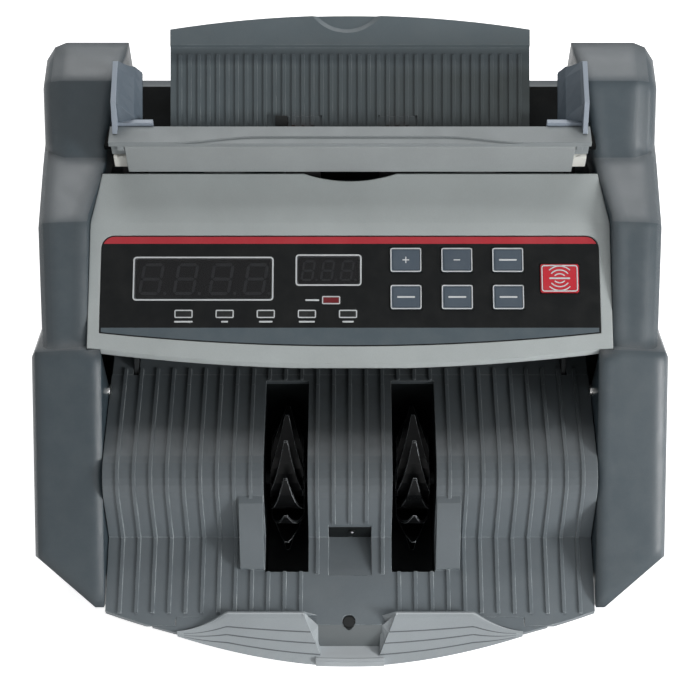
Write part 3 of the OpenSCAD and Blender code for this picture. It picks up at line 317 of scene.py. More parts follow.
looks = {
    "side_plastic": {
        "colour": linear(56, 68, 75),
        # painted light: upward faces paler than the steep front faces
        "paintedLitTop": linear(85, 93, 98),
        "paintedLitTopFrom": (0.78, 1.0),
        "rough": 0.34,
        "roughPlay": 0.06,
        "grain": 0.45,
        "edgeRadius": 9 * mm,
        "edgeSamples": 12,
        "wearAndHighlight": 0.0,
    },
    "housing_plastic": {
        "colour": linear(178, 185, 185),
        "rough": 0.46,
        "grain": 0.35,
        "edgeRadius": 0.8 * mm,
        "wearAndHighlight": 0.08,
        "specular": 0.3,
    },
    "bar_plastic": {
        "colour": linear(139, 145, 147),
        "rough": 0.46,
        "grain": 0.35,
        "edgeRadius": 0.5 * mm,
        "wearAndHighlight": 0.1,
        "specular": 0.3,
    },
    "stacker_plastic": {
        "colour": linear(109, 117, 122),
        "rough": 0.4,
        "grain": 0.3,
        # pale rib edges: rubbed edges and painted highlight lines
        "wearAndHighlight": 1.0,
        "wearAndHighlightColour": linear(206, 214, 216),
        "edgeRadius": 0.4 * mm,
        "specular": 0.3,
        # painted shade under the housing, darkest towards the rear, the top and the middle, with
        # some rubber dust
        "shadeAndSoot": {
            "yFrom": (-0.035, -0.09),
            "zFrom": (0.03, 0.07),
            "xFrom": (0.02, 0.11),
            "sideShare": 0.6,
            "amount": 0.88,
            "colour": linear(34, 37, 38),
        },
    },
    "lip_plastic": {
        "colour": linear(160, 167, 171),
        # painted light: the ledge top and other upward faces paler
        "paintedLitTop": linear(208, 214, 218),
        "paintedLitTopFrom": (0.85, 1.0),
        "rough": 0.42,
        "grain": 0.3,
        # pale edges: rubbed edges and a painted rim highlight
        "wearAndHighlight": 0.5,
        "wearAndHighlightColour": linear(206, 210, 212),
        "edgeRadius": 0.25 * mm,
        "specular": 0.3,
    },
    "tray_plastic": {
        "colour": linear(94, 104, 109),
        "rough": 0.45,
        "grain": 0.4,
        "specular": 0.3,
        # pale rib edges: rubbed edges and painted highlight lines
        "wearAndHighlight": 1.0,
        "wearAndHighlightColour": linear(160, 168, 172),
        "edgeRadius": 0.35 * mm,
        # painted shadow in the crease under the header
        "band": {"y": 0.1075, "width": 0.0035, "amount": 0.6, "colour": linear(48, 56, 61)},
        # painted shade: darker towards the front and towards the right
        "shadeAndSoot": {
            "yFrom": (0.1, 0.12),
            "zFrom": (0.1, 0.11),
            "xFrom": (0.07, -0.07),
            "oneSided": True,
            "sideShare": 0.3,
            "amount": 0.9,
            "colour": linear(44, 49, 48),
        },
    },
    "dark_plastic": {
        "colour": linear(20, 23, 24),
        "rough": 0.45,
        "grain": 0.4,
        "dust": 0.03,
        "specular": 0.2,
    },
    "guide_plastic": {"colour": linear(150, 160, 172), "rough": 0.45, "grain": 0.3},
    "overlay_film": {
        "colour": linear(19, 21, 22),
        "rough": 0.4,
        "grain": 0.2,
        "speckle": 0.02,
        "dust": 0.015,
        "specular": 0.12,
    },
    "window_film": {"colour": linear(34, 28, 32), "rough": 0.15, "grain": 0.0, "dust": 0.02},
    "digit_plastic": {
        "colour": linear(26, 26, 28),
        "rough": 0.5,
        "grain": 0.02,
        "speckle": 0.0,
        "dust": 0.0,
        "wearAndHighlight": 0.0,
        "specular": 0.1,
    },
    "lens_plastic": {"colour": linear(62, 64, 64), "rough": 0.3, "grain": 0.1, "specular": 0.2},
    "key_plastic": {
        "colour": linear(77, 88, 99),
        "rough": 0.45,
        "grain": 0.3,
        "wearAndHighlight": 0.05,
        "specular": 0.25,
    },
    "reset_plastic": {
        "colour": linear(198, 48, 60),
        "rough": 0.42,
        "grain": 0.3,
        "wearAndHighlight": 0.05,
        "specular": 0.25,
    },
    "circuit_board": {"colour": linear(30, 84, 48), "rough": 0.35, "speckle": 0.1},
    "impeller_rubber": {
        "colour": linear(15, 16, 17),
        "rough": 0.34,
        "grain": 0.12,
        "dust": 0.01,
        # painted highlights along the blade edges
        "wearAndHighlight": 1.0,
        "wearAndHighlightColour": linear(210, 216, 220),
        "edgeRadius": 0.45 * mm,
        "specular": 0.08,
    },
    "roller_rubber": {"colour": linear(34, 34, 36), "rough": 0.7, "grain": 0.6, "dust": 0.12},
    "pad_rubber": {"colour": linear(176, 84, 52), "rough": 0.7, "grain": 0.6},
    "foot_rubber": {"colour": linear(28, 28, 29), "rough": 0.75, "grain": 0.6, "specular": 0.2},
    "belt_rubber": {"colour": linear(26, 26, 28), "rough": 0.7, "grain": 0.6},
    "shaft_steel": {
        "colour": linear(150, 153, 156),
        "rough": 0.3,
        "metal": 1.0,
        "grain": 0.1,
        "speckle": 0.0,
    },
    "plate_steel": {"colour": linear(150, 154, 156), "rough": 0.42, "metal": 1.0, "mottle": 0.12},
    "screw_steel": {"colour": linear(206, 206, 204), "rough": 0.25, "metal": 1.0, "grain": 0.1},
    "pan_steel": {"colour": linear(44, 48, 51), "rough": 0.5, "grain": 0.6, "specular": 0.25},
    "motor_metal": {"colour": linear(150, 153, 156), "rough": 0.4, "metal": 0.6},
    "white_plastic": {"colour": linear(220, 220, 214), "rough": 0.4, "grain": 0.2},
    "coil_lacquer": {"colour": linear(128, 104, 70), "rough": 0.4, "mottle": 0.15},
}
materials = {name: surface(name, look) for name, look in looks.items()}
# every node of the frame gets its slot's material first
slotOf = {row["node"]: row["material_slot"] for row in frame["record"]["subparts"]}
for name, obj in nodes.items():
    paint(obj, materials[slotOf[name]])
# the hopper floor is duller than the other dark parts
shelfLook = dict(looks["dark_plastic"], colour=linear(14, 16, 17))
shelfLook.update({"rough": 0.75, "specular": 0.06, "dust": 0.02})
paint(nodes["hopper_floor"], surface("shelf_plastic", shelfLook))
# the frame plates and the impeller shaft get dark coated steel, whose dark tone is also painted
# shade for the inside of the case
coatedShadeLook = {"colour": linear(40, 43, 45), "rough": 0.6, "specular": 0.15, "wearAndHighlight": 0.1}
coatedSteelShade = surface("coated_steel_shade", coatedShadeLook)
for name in ("left_frame_plate", "right_frame_plate", "impeller_shaft"):
    paint(nodes[name], coatedSteelShade)
# the flap gets a paler copy of the bar's plastic: painted light on its steep face
flapLitLook = dict(looks["bar_plastic"], colour=linear(150, 155, 156))
paint(nodes["access_flap"], surface("flap_lit_plastic", flapLitLook))
print("surfaces", len(materials))

# print on the sloping panel: u across, v up the slope, h outwards
panel = {
    "tilt": math.radians(25.2),
    "origin": Vector((0, -11, 105.7)) * mm,
    "printHeight": 0.05,
    "line": 0.7,
    "stripe": linear(176, 38, 50),
    "lowerBand": linear(68, 80, 87),
    "white": linear(214, 218, 220),
}
panelUp = Vector((0, math.cos(panel["tilt"]), math.sin(panel["tilt"])))
panelOut = Vector((0, -math.sin(panel["tilt"]), math.cos(panel["tilt"])))


def onPanel(u, v, h):
    return panel["origin"] + Vector((u, 0, 0)) * mm + panelUp * v * mm + panelOut * h * mm


whitePrint = surface("white_print", {"colour": panel["white"], "rough": 0.45, "grain": 0.1})
redPrint = surface("red_print", {"colour": panel["stripe"], "rough": 0.4, "grain": 0.2})
greyPrint = surface("grey_print", {"colour": panel["lowerBand"], "rough": 0.42, "grain": 0.2})


def printedFrame(bm, u, v, w, h, r, line, low, high):
    outer = roundedRect(u, v, w, h, r)
    inner = roundedRect(u, v, w - 2 * line, h - 2 * line, max(r - line, 0.15))
    frameStrip(bm, outer, inner, onPanel, low, high)


# windows are place across and up, width and height
windows = {"main": (-67, 32, 63.7, 20), "batch": (-9.8, 36, 29.7, 14.2)}
windowLine = {"margin": 0.5, "corner": 1.6}
# outline and face are width, height and corner
lamp = {
    "row": [(-75.7 + 18.7 * i, 15.6) for i in range(5)],
    "batch": (-8.6, 22),
    "outline": (8.3, 3.8, 0.7),
    "line": 0.55,
    "face": (7.4, 2.9, 0.4),
    "heights": (-0.02, 0.03),
}
overlay = {"halfWidth": 114, "low": 0.6, "bow": 6.1, "height": 45.5}


# height of the overlay's bowed lower edge
def overlayLow(u):
    r = (overlay["halfWidth"] ** 2 + overlay["bow"] ** 2) / (2 * overlay["bow"])
    return overlay["low"] + r - math.sqrt(r * r - u * u)


def buildWindowLines(bm):
    more, high = windowLine["margin"], panel["printHeight"]
    for u, v, w, h in windows.values():
        printedFrame(bm, u, v, w + more, h + more, windowLine["corner"], panel["line"], 0, high)
    for u, v in [*lamp["row"], lamp["batch"]]:
        printedFrame(bm, u, v, *lamp["outline"], lamp["line"], 0, high)


meshObject("window_lines", buildWindowLines, "machine", whitePrint)

lampLook = {"colour": linear(38, 40, 40), "rough": 0.25, "grain": 0.05, "specular": 0.15}
darkLamp = surface("lamp_dark", lampLook)
redLamp = surface("lamp_red", dict(lampLook, colour=linear(112, 34, 40)))


def buildLampRow(bm):
    for u, v in lamp["row"]:
        prism(bm, roundedRect(u, v, *lamp["face"]), onPanel, *lamp["heights"])


def buildBatchLamp(bm):
    prism(bm, roundedRect(*lamp["batch"], *lamp["face"]), onPanel, *lamp["heights"])


meshObject("lamp_faces", buildLampRow, "machine", darkLamp)
meshObject("lamp_red_face", buildBatchLamp, "machine", redLamp)

# plain bars where the words under the lamps and on the keys are
legend = {
    "height": 0.8,
    "under": -3.6,
    "widths": (8.4, 3.2, 6.2, 7.4, 5.2),
    "beside": 6.4,
    "besideGap": 5.4,
}


def printedBar(bm, u, v, w, h, low, high):
    prism(bm, roundedRect(u, v, w, h, h * 0.49, 3), onPanel, low, high)


def buildLegends(bm):
    high = panel["printHeight"]
    for (u, v), w in zip(lamp["row"], legend["widths"]):
        printedBar(bm, u, v + legend["under"], w, legend["height"], 0, high)
    u, v = lamp["batch"]
    w = legend["beside"]
    printedBar(bm, u - legend["besideGap"] - w / 2, v, w, legend["height"], 0, high)


meshObject("lamp_legends", buildLegends, "machine", whitePrint)

# red stripe along the overlay's rounded upper edge
stripe = {"inset": 0.7, "topInset": 0.6, "corner": 5.4, "height": 3.3, "endInset": 0.4, "steps": 6}


def buildStripe(bm):
    top = overlay["low"] + overlay["bow"] + overlay["height"] - stripe["topInset"]
    hw = overlay["halfWidth"] - stripe["inset"]
    r, low = stripe["corner"], top - stripe["height"]
    turns = [math.radians(90 * i / stripe["steps"]) for i in range(stripe["steps"] + 1)]
    corner = [(hw - r + r * math.cos(a), top - r + r * math.sin(a)) for a in turns]
    right = [(hw - stripe["endInset"], low)] + [p for p in corner if p[1] >= low]
    left = [(-u, v) for u, v in reversed(right)]
    prism(bm, right + left, onPanel, 0, panel["printHeight"])


meshObject("red_stripe", buildStripe, "machine", redPrint)

# grey band above the overlay's bowed lower edge
lowerBand = {"inset": 0.9, "top": 9.2, "lift": 0.6, "steps": 60}


def buildLowerBand(bm):
    hw, steps, top = overlay["halfWidth"] - lowerBand["inset"], lowerBand["steps"], lowerBand["top"]
    across = [-hw + 2 * hw * i / steps for i in range(steps + 1)]
    low = [(u, overlayLow(u) + lowerBand["lift"]) for u in across]
    prism(bm, low + [(hw, top), (-hw, top)], onPanel, 0, panel["printHeight"])


meshObject("grey_band", buildLowerBand, "machine", greyPrint)
print("window lines, lamps, stripe and band")

# front lip: two grooved humps with a low ledge between them
lip = {
    "frontY": -123,
    "bowRadius": 400,
    "rearY": -107.5,
    "top": 33,
    "low": 8,
    "lowRise": 16,  # how much higher the lower edge is at the ends
    "lowPower": 1.6,
    "innerTop": 20.9,
    "innerLow": 13.2,
    "innerFrom": 13,
    "rearInner": 13.7,
    "rearLean": 1.2,
    "rearFull": 0.77,  # share of the height up to which the rear side leans out
    "rearPoints": 4,  # how many points at the end of a section are on the rear side
    "rearHigh": 32,
    "floorLevel": 27,
    "shoulder": 56.5,
    "end": 79,
    "endDepth": 1.2,
    "endHeight": 3.2,
    "endFineness": 0.9,  # how far the details shrink towards the ends
    "foot": 0.4,
    "faceY": 0.86,  # share of the depth and height that the front face takes
    "faceZ": 0.93,
    "rimFront": (-0.5, -0.15),
    "rimRear": (0.9, -0.6),
    "grooves": (0.22, 0.46, 0.7),
    "grooveWidth": 0.75,
    "grooveDepth": 1.0,
    "grooveShape": ((0, 0), (1, 0.1), (1, 0.9), (0.25, 1)),
    "slices": 40,
}


def lipFront(x):
    r = lip["bowRadius"]
    return lip["frontY"] + r - math.sqrt(r * r - x * x)


def lipLow(x):
    return lip["low"] + lip["lowRise"] * (abs(x) / lip["end"]) ** lip["lowPower"]


# front foot and rear top of the section at x, and how far it has come down towards the end
def lipFrame(x):
    y0, z0 = lipFront(x), lipLow(x)
    taper = max(0.0, (abs(x) - lip["shoulder"]) / (lip["end"] - lip["shoulder"]))
    y1 = lip["rearY"] + (y0 + lip["endDepth"] - lip["rearY"]) * taper
    z1 = lip["top"] + (z0 + lip["endHeight"] - lip["top"]) * taper
    return y0, z0, y1, z1, taper


# foot and front face with its grooves, then the rim and the rear side
def lipSection(x):
    y0, z0, y1, z1, taper = lipFrame(x)
    small = 1 - lip["endFineness"] * taper
    full = 1 - taper
    width, depth = lip["grooveWidth"] * small, lip["grooveDepth"] * small
    yTop, zTop = y0 + (y1 - y0) * lip["faceY"], z0 + (z1 - z0) * lip["faceZ"]
    points = [(y0, z0), (y0, z0 + lip["foot"])]
    for share in lip["grooves"]:
        y, z = y0 + (yTop - y0) * share, z0 + (zTop - z0) * share
        points += [(y + depth * a, z + width * b) for a, b in lip["grooveShape"]]
    (frontY, frontZ), (rearY, rearZ) = lip["rimFront"], lip["rimRear"]
    points += [(yTop, zTop), (y1 + frontY * small, z1 + frontZ * small), (y1, z1)]
    points += [(y1 + rearY * full, z1 + rearZ * small)]
    rear = y1 + lip["rearLean"] * full
    points += [(rear, z0 + (z1 - z0) * lip["rearFull"]), (rear, z0)]
    return points


# x of a hump's inner edge: it opens with height, and the rear side from the floor upwards
def lipInner(z, rear=False):
    if rear:
        inner, low, high = lip["rearInner"], lip["floorLevel"], lip["rearHigh"]
    else:
        inner, low, high = lip["innerLow"], lip["innerFrom"], lip["top"]
    share = min(1.0, max(0.0, (z - low) / (high - low)))
    return inner + (lip["innerTop"] - inner) * share


def buildHumps(bm):
    first = lipSection(lip["innerLow"] + 1)
    frontPoints = len(first) - lip["rearPoints"]
    inners = [lipInner(z, rear=j >= frontPoints) for j, (y, z) in enumerate(first)]
    for side in (-1, 1):
        rings = []
        for i in range(lip["slices"] + 1):
            ring = []
            for j, inner in enumerate(inners):
                x = inner + (lip["end"] - inner) * i / lip["slices"]
                y, z = lipSection(x)[j]
                ring.append((side * x, y, z))
            rings.append(ring)
        loft(bm, rings)


# painted shade: dark strips that fill each groove nearly to the face
grooveShade = {"proud": 0.03, "lean": 0.6, "depth": 0.9, "startGap": 0.1, "endGap": 3}


def buildGrooveShade(bm):
    lean = grooveShade["lean"]
    for side in (-1, 1):
        for share in lip["grooves"]:
            z = lipLow(lip["innerLow"]) + (lip["top"] - lip["low"]) * lip["faceZ"] * share
            inner, outer = lipInner(z) + grooveShade["startGap"], lip["end"] - grooveShade["endGap"]
            rings = []
            for i in range(lip["slices"] + 1):
                x = inner + (outer - inner) * i / lip["slices"]
                y0, z0, y1, z1, taper = lipFrame(x)
                w = lip["grooveWidth"] * (1 - lip["endFineness"] * taper)
                y, z = y0 + (y1 - y0) * lip["faceY"] * share, z0 + (z1 - z0) * lip["faceZ"] * share
                front, rear = y - grooveShade["proud"], y + grooveShade["depth"]
                ring = [(front, z), (front + lean * w, z + w), (rear, z + w), (rear, z)]
                rings.append([(side * x, a, b) for a, b in ring])
            loft(bm, rings)


# low ledge between the humps: its edge is given from the front top
ledge = {
    "top": 13.7,
    "rear": -114.8,
    "overlap": 2.6,
    "edge": ((0, -0.9), (0.35, -0.25), (0.9, 0), (1.6, 0), (1.9, -0.3)),
    "slices": 16,
}


def buildLedge(bm):
    hw, low, top, rear = lip["innerLow"] + ledge["overlap"], lip["low"], ledge["top"], ledge["rear"]
    rings = []
    for i in range(ledge["slices"] + 1):
        x = -hw + 2 * hw * i / ledge["slices"]
        y0 = lipFront(x)
        section = [(y0, low)] + [(y0 + y, top + z) for y, z in ledge["edge"]]
        section += [(rear, section[-1][1]), (rear, low)]
        rings.append([(x, y, z) for y, z in section])
    loft(bm, rings)


def buildLip(bm):
    buildHumps(bm)
    buildLedge(bm)


def inSpace(u, v, h):
    return Vector((u, v, h)) * mm


def alongX(u, v, h):
    return Vector((h, u, v)) * mm


# slope from the floor's edge down to the ledge
notch = {
    "halfWidth": 16.4,
    "high": 26.4,
    "low": 13.3,
    "rear": -110.6,
    "front": -115.2,
    "highThickness": 0.9,
    "lowThickness": 1.4,
}


def buildLipWall(bm):
    high, low, rear, front = notch["high"], notch["low"], notch["rear"], notch["front"]
    profile = [(rear + notch["highThickness"], high), (rear, high), (front, low)]
    profile += [(front + notch["lowThickness"], low)]
    prism(bm, profile, alongX, -notch["halfWidth"], notch["halfWidth"])


# side of the notch, from the inner edge of each hump back to the slope
notchSide = {
    "levels": (13.4, 17, 21, 24, 26.4, 29, 31, 32.9),
    "thickness": 0.8,
    "clearance": 0.05,
    "frontInset": 0.4,
    "rearInner": 14.6,
    "footZ": 8.5,
    "faceShare": 0.925,
}


def buildNotchSides(bm):
    foot, rearInner, more = notchSide["footZ"], notchSide["rearInner"], notchSide["thickness"]
    for side in (-1, 1):
        rings = []
        for z in notchSide["levels"]:
            share = (z - foot) / (lip["top"] - foot) * notchSide["faceShare"]
            x0 = lipInner(z) + notchSide["clearance"]
            y0 = lip["frontY"] + notchSide["frontInset"] + (lip["rearY"] - lip["frontY"]) * share
            below = max(0.0, (notch["high"] - z) / (notch["high"] - notch["low"]))
            above = max(0.0, (z - notch["high"]) / (lip["top"] - notch["high"]))
            x1 = rearInner + (lip["innerTop"] - rearInner) * above
            y1 = notch["rear"] + (notch["front"] - notch["rear"]) * below
            y1 += (lip["rearY"] - notch["rear"]) * above
            ring = [(x0, y0), (x1, y1), (x1 + more, y1), (x0 + more, y0)]
            rings.append([(side * x, y, z) for x, y in ring])
        loft(bm, rings)


# dark disc where the eye hole in the floor behind the notch is: painted shade for the inside of the
# hole
floorHole = {"x": -0.5, "y": -109, "width": 5.9, "z": (25.6, 26.1)}


def buildFloorHoleShade(bm):
    width = floorHole["width"]
    disc = roundedRect(floorHole["x"], floorHole["y"], width, width, width / 2 - 0.05)
    prism(bm, disc, inSpace, *floorHole["z"])


lipPiece = meshObject("lip", buildLip, "machine", materials["lip_plastic"])
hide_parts("front_lip")
# darker copy of the lip plastic on the slope in the notch: painted shade
notchShadeLook = dict(looks["lip_plastic"], colour=linear(104, 110, 112), paintedLitTop=linear(110, 116, 118))
meshObject("lip_wall", buildLipWall, "machine", surface("notch_shaded_plastic", notchShadeLook))
# darker copy of the lip plastic for the groove strips: painted shade
grooveShadeLook = dict(looks["lip_plastic"], colour=linear(104, 110, 114), paintedLitTop=linear(120, 126, 130))
grooveShadeSurface = surface("groove_shade", dict(grooveShadeLook, wearAndHighlight=0.0, rough=0.7))
meshObject("lip_grooves", buildGrooveShade, "machine", grooveShadeSurface)
meshObject("notch_sides", buildNotchSides, "machine", materials["lip_plastic"])
meshObject("floor_hole_shade", buildFloorHoleShade, "machine", materials["dark_plastic"])

# the floor's front edge runs out over the ends of the lip and into the notch's corners
wing = {
    "top": 26.45,
    "slope": 0.276,
    "thickness": 2.4,
    "points": (
        (56, -107.2),
        (79.7, -107.2),
        (79.7, -111.02),
        (90.6, -111.02),
        (85, -112.5),
        (79.6, -113.9),
        (68, -110.6),
    ),
    "corner": ((15.4, -110.4), (21.6, -106.9), (15.4, -106.9)),
    "tipY": -111,
}


def onFloor(u, v, h):
    return Vector((u, v, h + wing["slope"] * (v - wing["tipY"]))) * mm


def buildFloorWings(bm):
    for side in (-1, 1):
        for points in (wing["points"], wing["corner"]):
            mirrored = [(side * x, y) for x, y in points]
            prism(bm, mirrored, onFloor, wing["top"] - wing["thickness"], wing["top"])


# the deck runs on under the housing, with the rear ends of its ribs
deck = {
    "y0": -4.5,
    "y1": 8.5,
    "top": 74,
    "thickness": 2.4,
    "halfWidth": 112.2,
    "plate": (99.6, 102.4),  # gap for each frame plate
}
deckRibs = {
    "pitch": 7.56,
    "width": 1.6,
    "height": 0.8,
    "rounding": 0.475,
    "from": -10.6,
    "to": -1.0,
    "count": 14,
    "slots": (18.4, 40.2),
    "slotRear": -7.7,
}


def buildDeckRear(bm):
    low, high = deck["top"] - deck["thickness"], deck["top"]
    inner, outer = deck["plate"]
    for x0, x1 in ((-deck["halfWidth"], -outer), (-inner, inner), (outer, deck["halfWidth"])):
        prism(bm, rectangle(x0, deck["y0"], x1, deck["y1"]), inSpace, low, high)
    width = deckRibs["width"]
    for i in range(-deckRibs["count"], deckRibs["count"] + 1):
        x = i * deckRibs["pitch"]
        if inner < abs(x) < outer:
            continue
        overSlot = deckRibs["slots"][0] < abs(x) < deckRibs["slots"][1]
        start = deckRibs["slotRear"] if overSlot else deckRibs["from"]
        middle, length = (start + deckRibs["to"]) / 2, deckRibs["to"] - start
        rib = roundedRect(x, middle, width, length, width * deckRibs["rounding"], 3)
        prism(bm, rib, inSpace, high - sink, high + deckRibs["height"])


wingPlastic = surface("wing_plastic", dict(looks["stacker_plastic"], wearAndHighlight=0.0))
meshObject("floor_wings", buildFloorWings, "machine", wingPlastic)
meshObject("deck_rear", buildDeckRear, "machine", materials["stacker_plastic"])

# ribbed plate that turns the notes down behind the deck and closes the view into the case; its dark
# plastic is also painted shade under the housing
throat = {
    "line": ((8.6, 71.8), (8.9, 78), (9.8, 85), (11.6, 92), (14.2, 98), (16.4, 101)),
    "thickness": 1.5,
    "halfWidth": 99,
    "ribPitch": 15.12,
    "ribsEachSide": 6,
    "rib": (1.4, 1.2),
}


def throatProfile(front, rear):
    points = [(y - front, z) for y, z in throat["line"]]
    return points + [(y + rear, z) for y, z in reversed(throat["line"])]


def buildThroat(bm):
    hw = throat["halfWidth"]
    prism(bm, throatProfile(0, throat["thickness"]), alongX, -hw, hw)
    width, height = throat["rib"]
    for i in range(-throat["ribsEachSide"], throat["ribsEachSide"] + 1):
        x = i * throat["ribPitch"]
        prism(bm, throatProfile(height, -2 * sink), alongX, x - width / 2, x + width / 2)


meshObject("throat_plate", buildThroat, "machine", materials["dark_plastic"])
print("front lip, deck")

# dark plate on the hand recess's back wall, which is painted shade, and the recess's bright eye
recess = {
    "back": -69,
    "thickness": 0.25,
    "halfWidth": 9.9,
    "low": 33.7,
    "high": 43.2,
    "eye": (1.0, -69.4, 39.4),
    "eyeRadius": 0.8,
    "eyeColour": linear(214, 214, 222),
}


def buildRecessShade(bm):
    w, y = recess["halfWidth"], recess["back"]
    wall = rectangle(-w, y - recess["thickness"], w, y)
    prism(bm, wall, inSpace, recess["low"], recess["high"])


def buildEye(bm):
    bmesh.ops.create_uvsphere(bm, u_segments=16, v_segments=8, radius=recess["eyeRadius"] * mm)
    for v in bm.verts:
        v.co += Vector(recess["eye"]) * mm


eyeGlass = surface("eye_glass", {"colour": recess["eyeColour"], "rough": 0.1, "grain": 0.0})
meshObject("recess_back", buildRecessShade, "machine", materials["dark_plastic"])
meshObject("stacker_eye", buildEye, "machine", eyeGlass, smooth=True)

# the tray's surface falls forwards from its rear top
tray = {"rearTop": 181.7, "rearY": 123, "slope": math.tan(math.radians(35))}


def trayLevel(y):
    return tray["rearTop"] - (tray["rearY"] - y) * tray["slope"]


# web that runs forwards from each note guide: top height at each y
guideWeb = {
    "tops": (
        (76.2, 162),
        (78.5, 170.5),
        (84, 172.6),
        (90, 174.6),
        (95, 176),
        (99, 176.6),
        (101.2, 173),
    ),
    "outer": 106,
    "foot": 95.5,
    "endRounding": 3.5,
    "footEdge": (0.2, 1.2),
    "lean": (3.2, 0.45),
    "topEdge": (1.2, 0.8),
    "lift": 3.4,
    # darker than the guide plastic: painted shade on the web
    "colour": linear(84, 95, 105),
}


def buildWeb(bm, side):
    outer, ends = guideWeb["outer"], (guideWeb["tops"][0], guideWeb["tops"][-1])
    (footX, footZ), (leanX, leanShare) = guideWeb["footEdge"], guideWeb["lean"]
    topX, topZ = guideWeb["topEdge"]
    rings = []
    for y, top in guideWeb["tops"]:
        low = trayLevel(y) + guideWeb["lift"]
        foot = guideWeb["foot"] + (guideWeb["endRounding"] if (y, top) in ends else 0)
        ring = [(outer, low), (foot, low), (foot + footX, low + footZ)]
        ring += [(foot + leanX, low + (top - low) * leanShare)]
        ring += [(outer - topX, top - topZ), (outer, top)]
        rings.append([(side * x, y, z) for x, z in ring])
    loft(bm, rings)


webShadeLook = dict(looks["guide_plastic"], colour=guideWeb["colour"])
webShadedPlastic = surface("guide_web_shaded", webShadeLook)
for name, side in (("left", -1), ("right", 1)):
    body = f"guide_{name}"
    meshObject(f"{body}_web", lambda bm: buildWeb(bm, side), body, webShadedPlastic)
print("recess and guides")

# ribbed strips that close the tray's two roller windows at their upper ends
trayStrip = {
    "spans": ((-28.6, -12.9), (12.9, 31.1)),
    "y": (81.1, 85.05),
    "thickness": 0.8,
    "firstRib": -78.5,
    "ribStep": 4.361,
    "ribCount": 37,
    "rib": (1.6, 0.8),
}


def onTray(u, v, h):
    return Vector((u, v, trayLevel(v) + h)) * mm


def buildTrayStrips(bm):
    y0, y1 = trayStrip["y"]
    width, height = trayStrip["rib"]
    for x0, x1 in trayStrip["spans"]:
        prism(bm, rectangle(x0, y0, x1, y1), onTray, -trayStrip["thickness"], 0)
        for i in range(trayStrip["ribCount"]):
            x = trayStrip["firstRib"] + i * trayStrip["ribStep"]
            if x0 < x - width / 2 and x + width / 2 < x1:
                ribLine = rectangle(x - width / 2, y0, x + width / 2, y1)
                prism(bm, ribLine, onTray, -sink, height)


meshObject("tray_strips", buildTrayStrips, "machine", materials["tray_plastic"])

# I and O on the power switch
switchMark = {
    "x": -44,
    "y": 109,
    "z": 30,
    "tilt": math.radians(9),
    "ridge": 3.4,
    "lean": 1.4 / 7.4,
    "middle": 3.9,
    "size": 2.6,
    "line": 0.45,
    "height": 0.06,
}


# places on the rocker's upper half (side 1) or lower half (side -1), at its rest tilt
def onRocker(side):
    along = Vector((0, switchMark["lean"], side)).normalized()
    out = Vector((0, 1, -side * switchMark["lean"])).normalized()
    turn = Matrix.Rotation(-switchMark["tilt"], 3, "X")
    centre = Vector((switchMark["x"], switchMark["y"], switchMark["z"]))

    def place(u, v, h):
        local = Vector((u, switchMark["ridge"], 0)) + along * (switchMark["middle"] + v) + out * h
        return (centre + turn @ local) * mm

    return place


def buildSwitchMarks(bm):
    half, line, high = switchMark["size"] / 2, switchMark["line"], switchMark["height"]
    prism(bm, rectangle(-line / 2, -half, line / 2, half), onRocker(1), -sink, high)
    outer = roundedRect(0, 0, 2 * half, 2 * half, half * 0.98, 8)
    inner = roundedRect(0, 0, 2 * (half - line), 2 * (half - line), (half - line) * 0.98, 8)
    frameStrip(bm, outer, inner, onRocker(-1), -sink, high)


meshObject("switch_marks", buildSwitchMarks, "rocker", whitePrint)
print("tray and switch")

# seven-segment digits under the smoked windows: width, height and line of each digit
digits = {
    "main": {"across": (-90.7, -75.0, -58.8, -43.1), "up": 32, "size": (9.9, 14.8, 1.4)},
    "batch": {"across": (-19.1, -10.2, -1.3), "up": 36, "size": (5.8, 9.8, 1.0)},
    "slant": math.tan(math.radians(9)),
    "gapShare": 0.16,
    "pointShare": 0.9,
    "plateInset": (2, 1.6),
    "plateLow": -1.38,
    "plateHigh": -1.08,
    "segmentHigh": -1.0,
    "segment": linear(140, 146, 146),
}
segmentLook = dict(looks["digit_plastic"], colour=digits["segment"])
segmentFace = surface("segment_face", segmentLook)


def sevenSegments(bm, u, v, w, h, t):
    low, high = digits["plateHigh"], digits["segmentHigh"]
    gap, k = t * digits["gapShare"], t / 2

    def slanted(a, b, depth):
        return onPanel(a + (b - v) * digits["slant"], b, depth)

    for level in (-1, 0, 1):
        y = v + level * (h / 2 - k)
        x0, x1 = u - w / 2 + k + gap, u + w / 2 - k - gap
        lower = [(x0, y), (x0 + k, y - k), (x1 - k, y - k)]
        upper = [(x1, y), (x1 - k, y + k), (x0 + k, y + k)]
        prism(bm, lower + upper, slanted, low, high)
    for side in (-1, 1):
        for level in (-1, 1):
            x = u + side * (w / 2 - k)
            y0 = v + min(0, level) * (h / 2 - k) + gap
            y1 = v + max(0, level) * (h / 2 - k) - gap
            right = [(x, y0), (x + k, y0 + k), (x + k, y1 - k)]
            left = [(x, y1), (x - k, y1 - k), (x - k, y0 + k)]
            prism(bm, right + left, slanted, low, high)
    point = roundedRect(u + w / 2 + t * digits["pointShare"], v - h / 2 + k, t, t, t * 0.45)
    prism(bm, point, onPanel, low, high)


def buildPlates(bm):
    across, up = digits["plateInset"]
    for u, v, w, h in windows.values():
        plate = rectangle(u - w / 2 + across, v - h / 2 + up, u + w / 2 - across, v + h / 2 - up)
        prism(bm, plate, onPanel, digits["plateLow"], digits["plateHigh"])


def buildSegments(bm):
    for row in (digits["main"], digits["batch"]):
        for u in row["across"]:
            sevenSegments(bm, u, row["up"], *row["size"])


meshObject("digit_plates", buildPlates, "machine", materials["digit_plastic"])
meshObject("digit_segments", buildSegments, "machine", segmentFace)

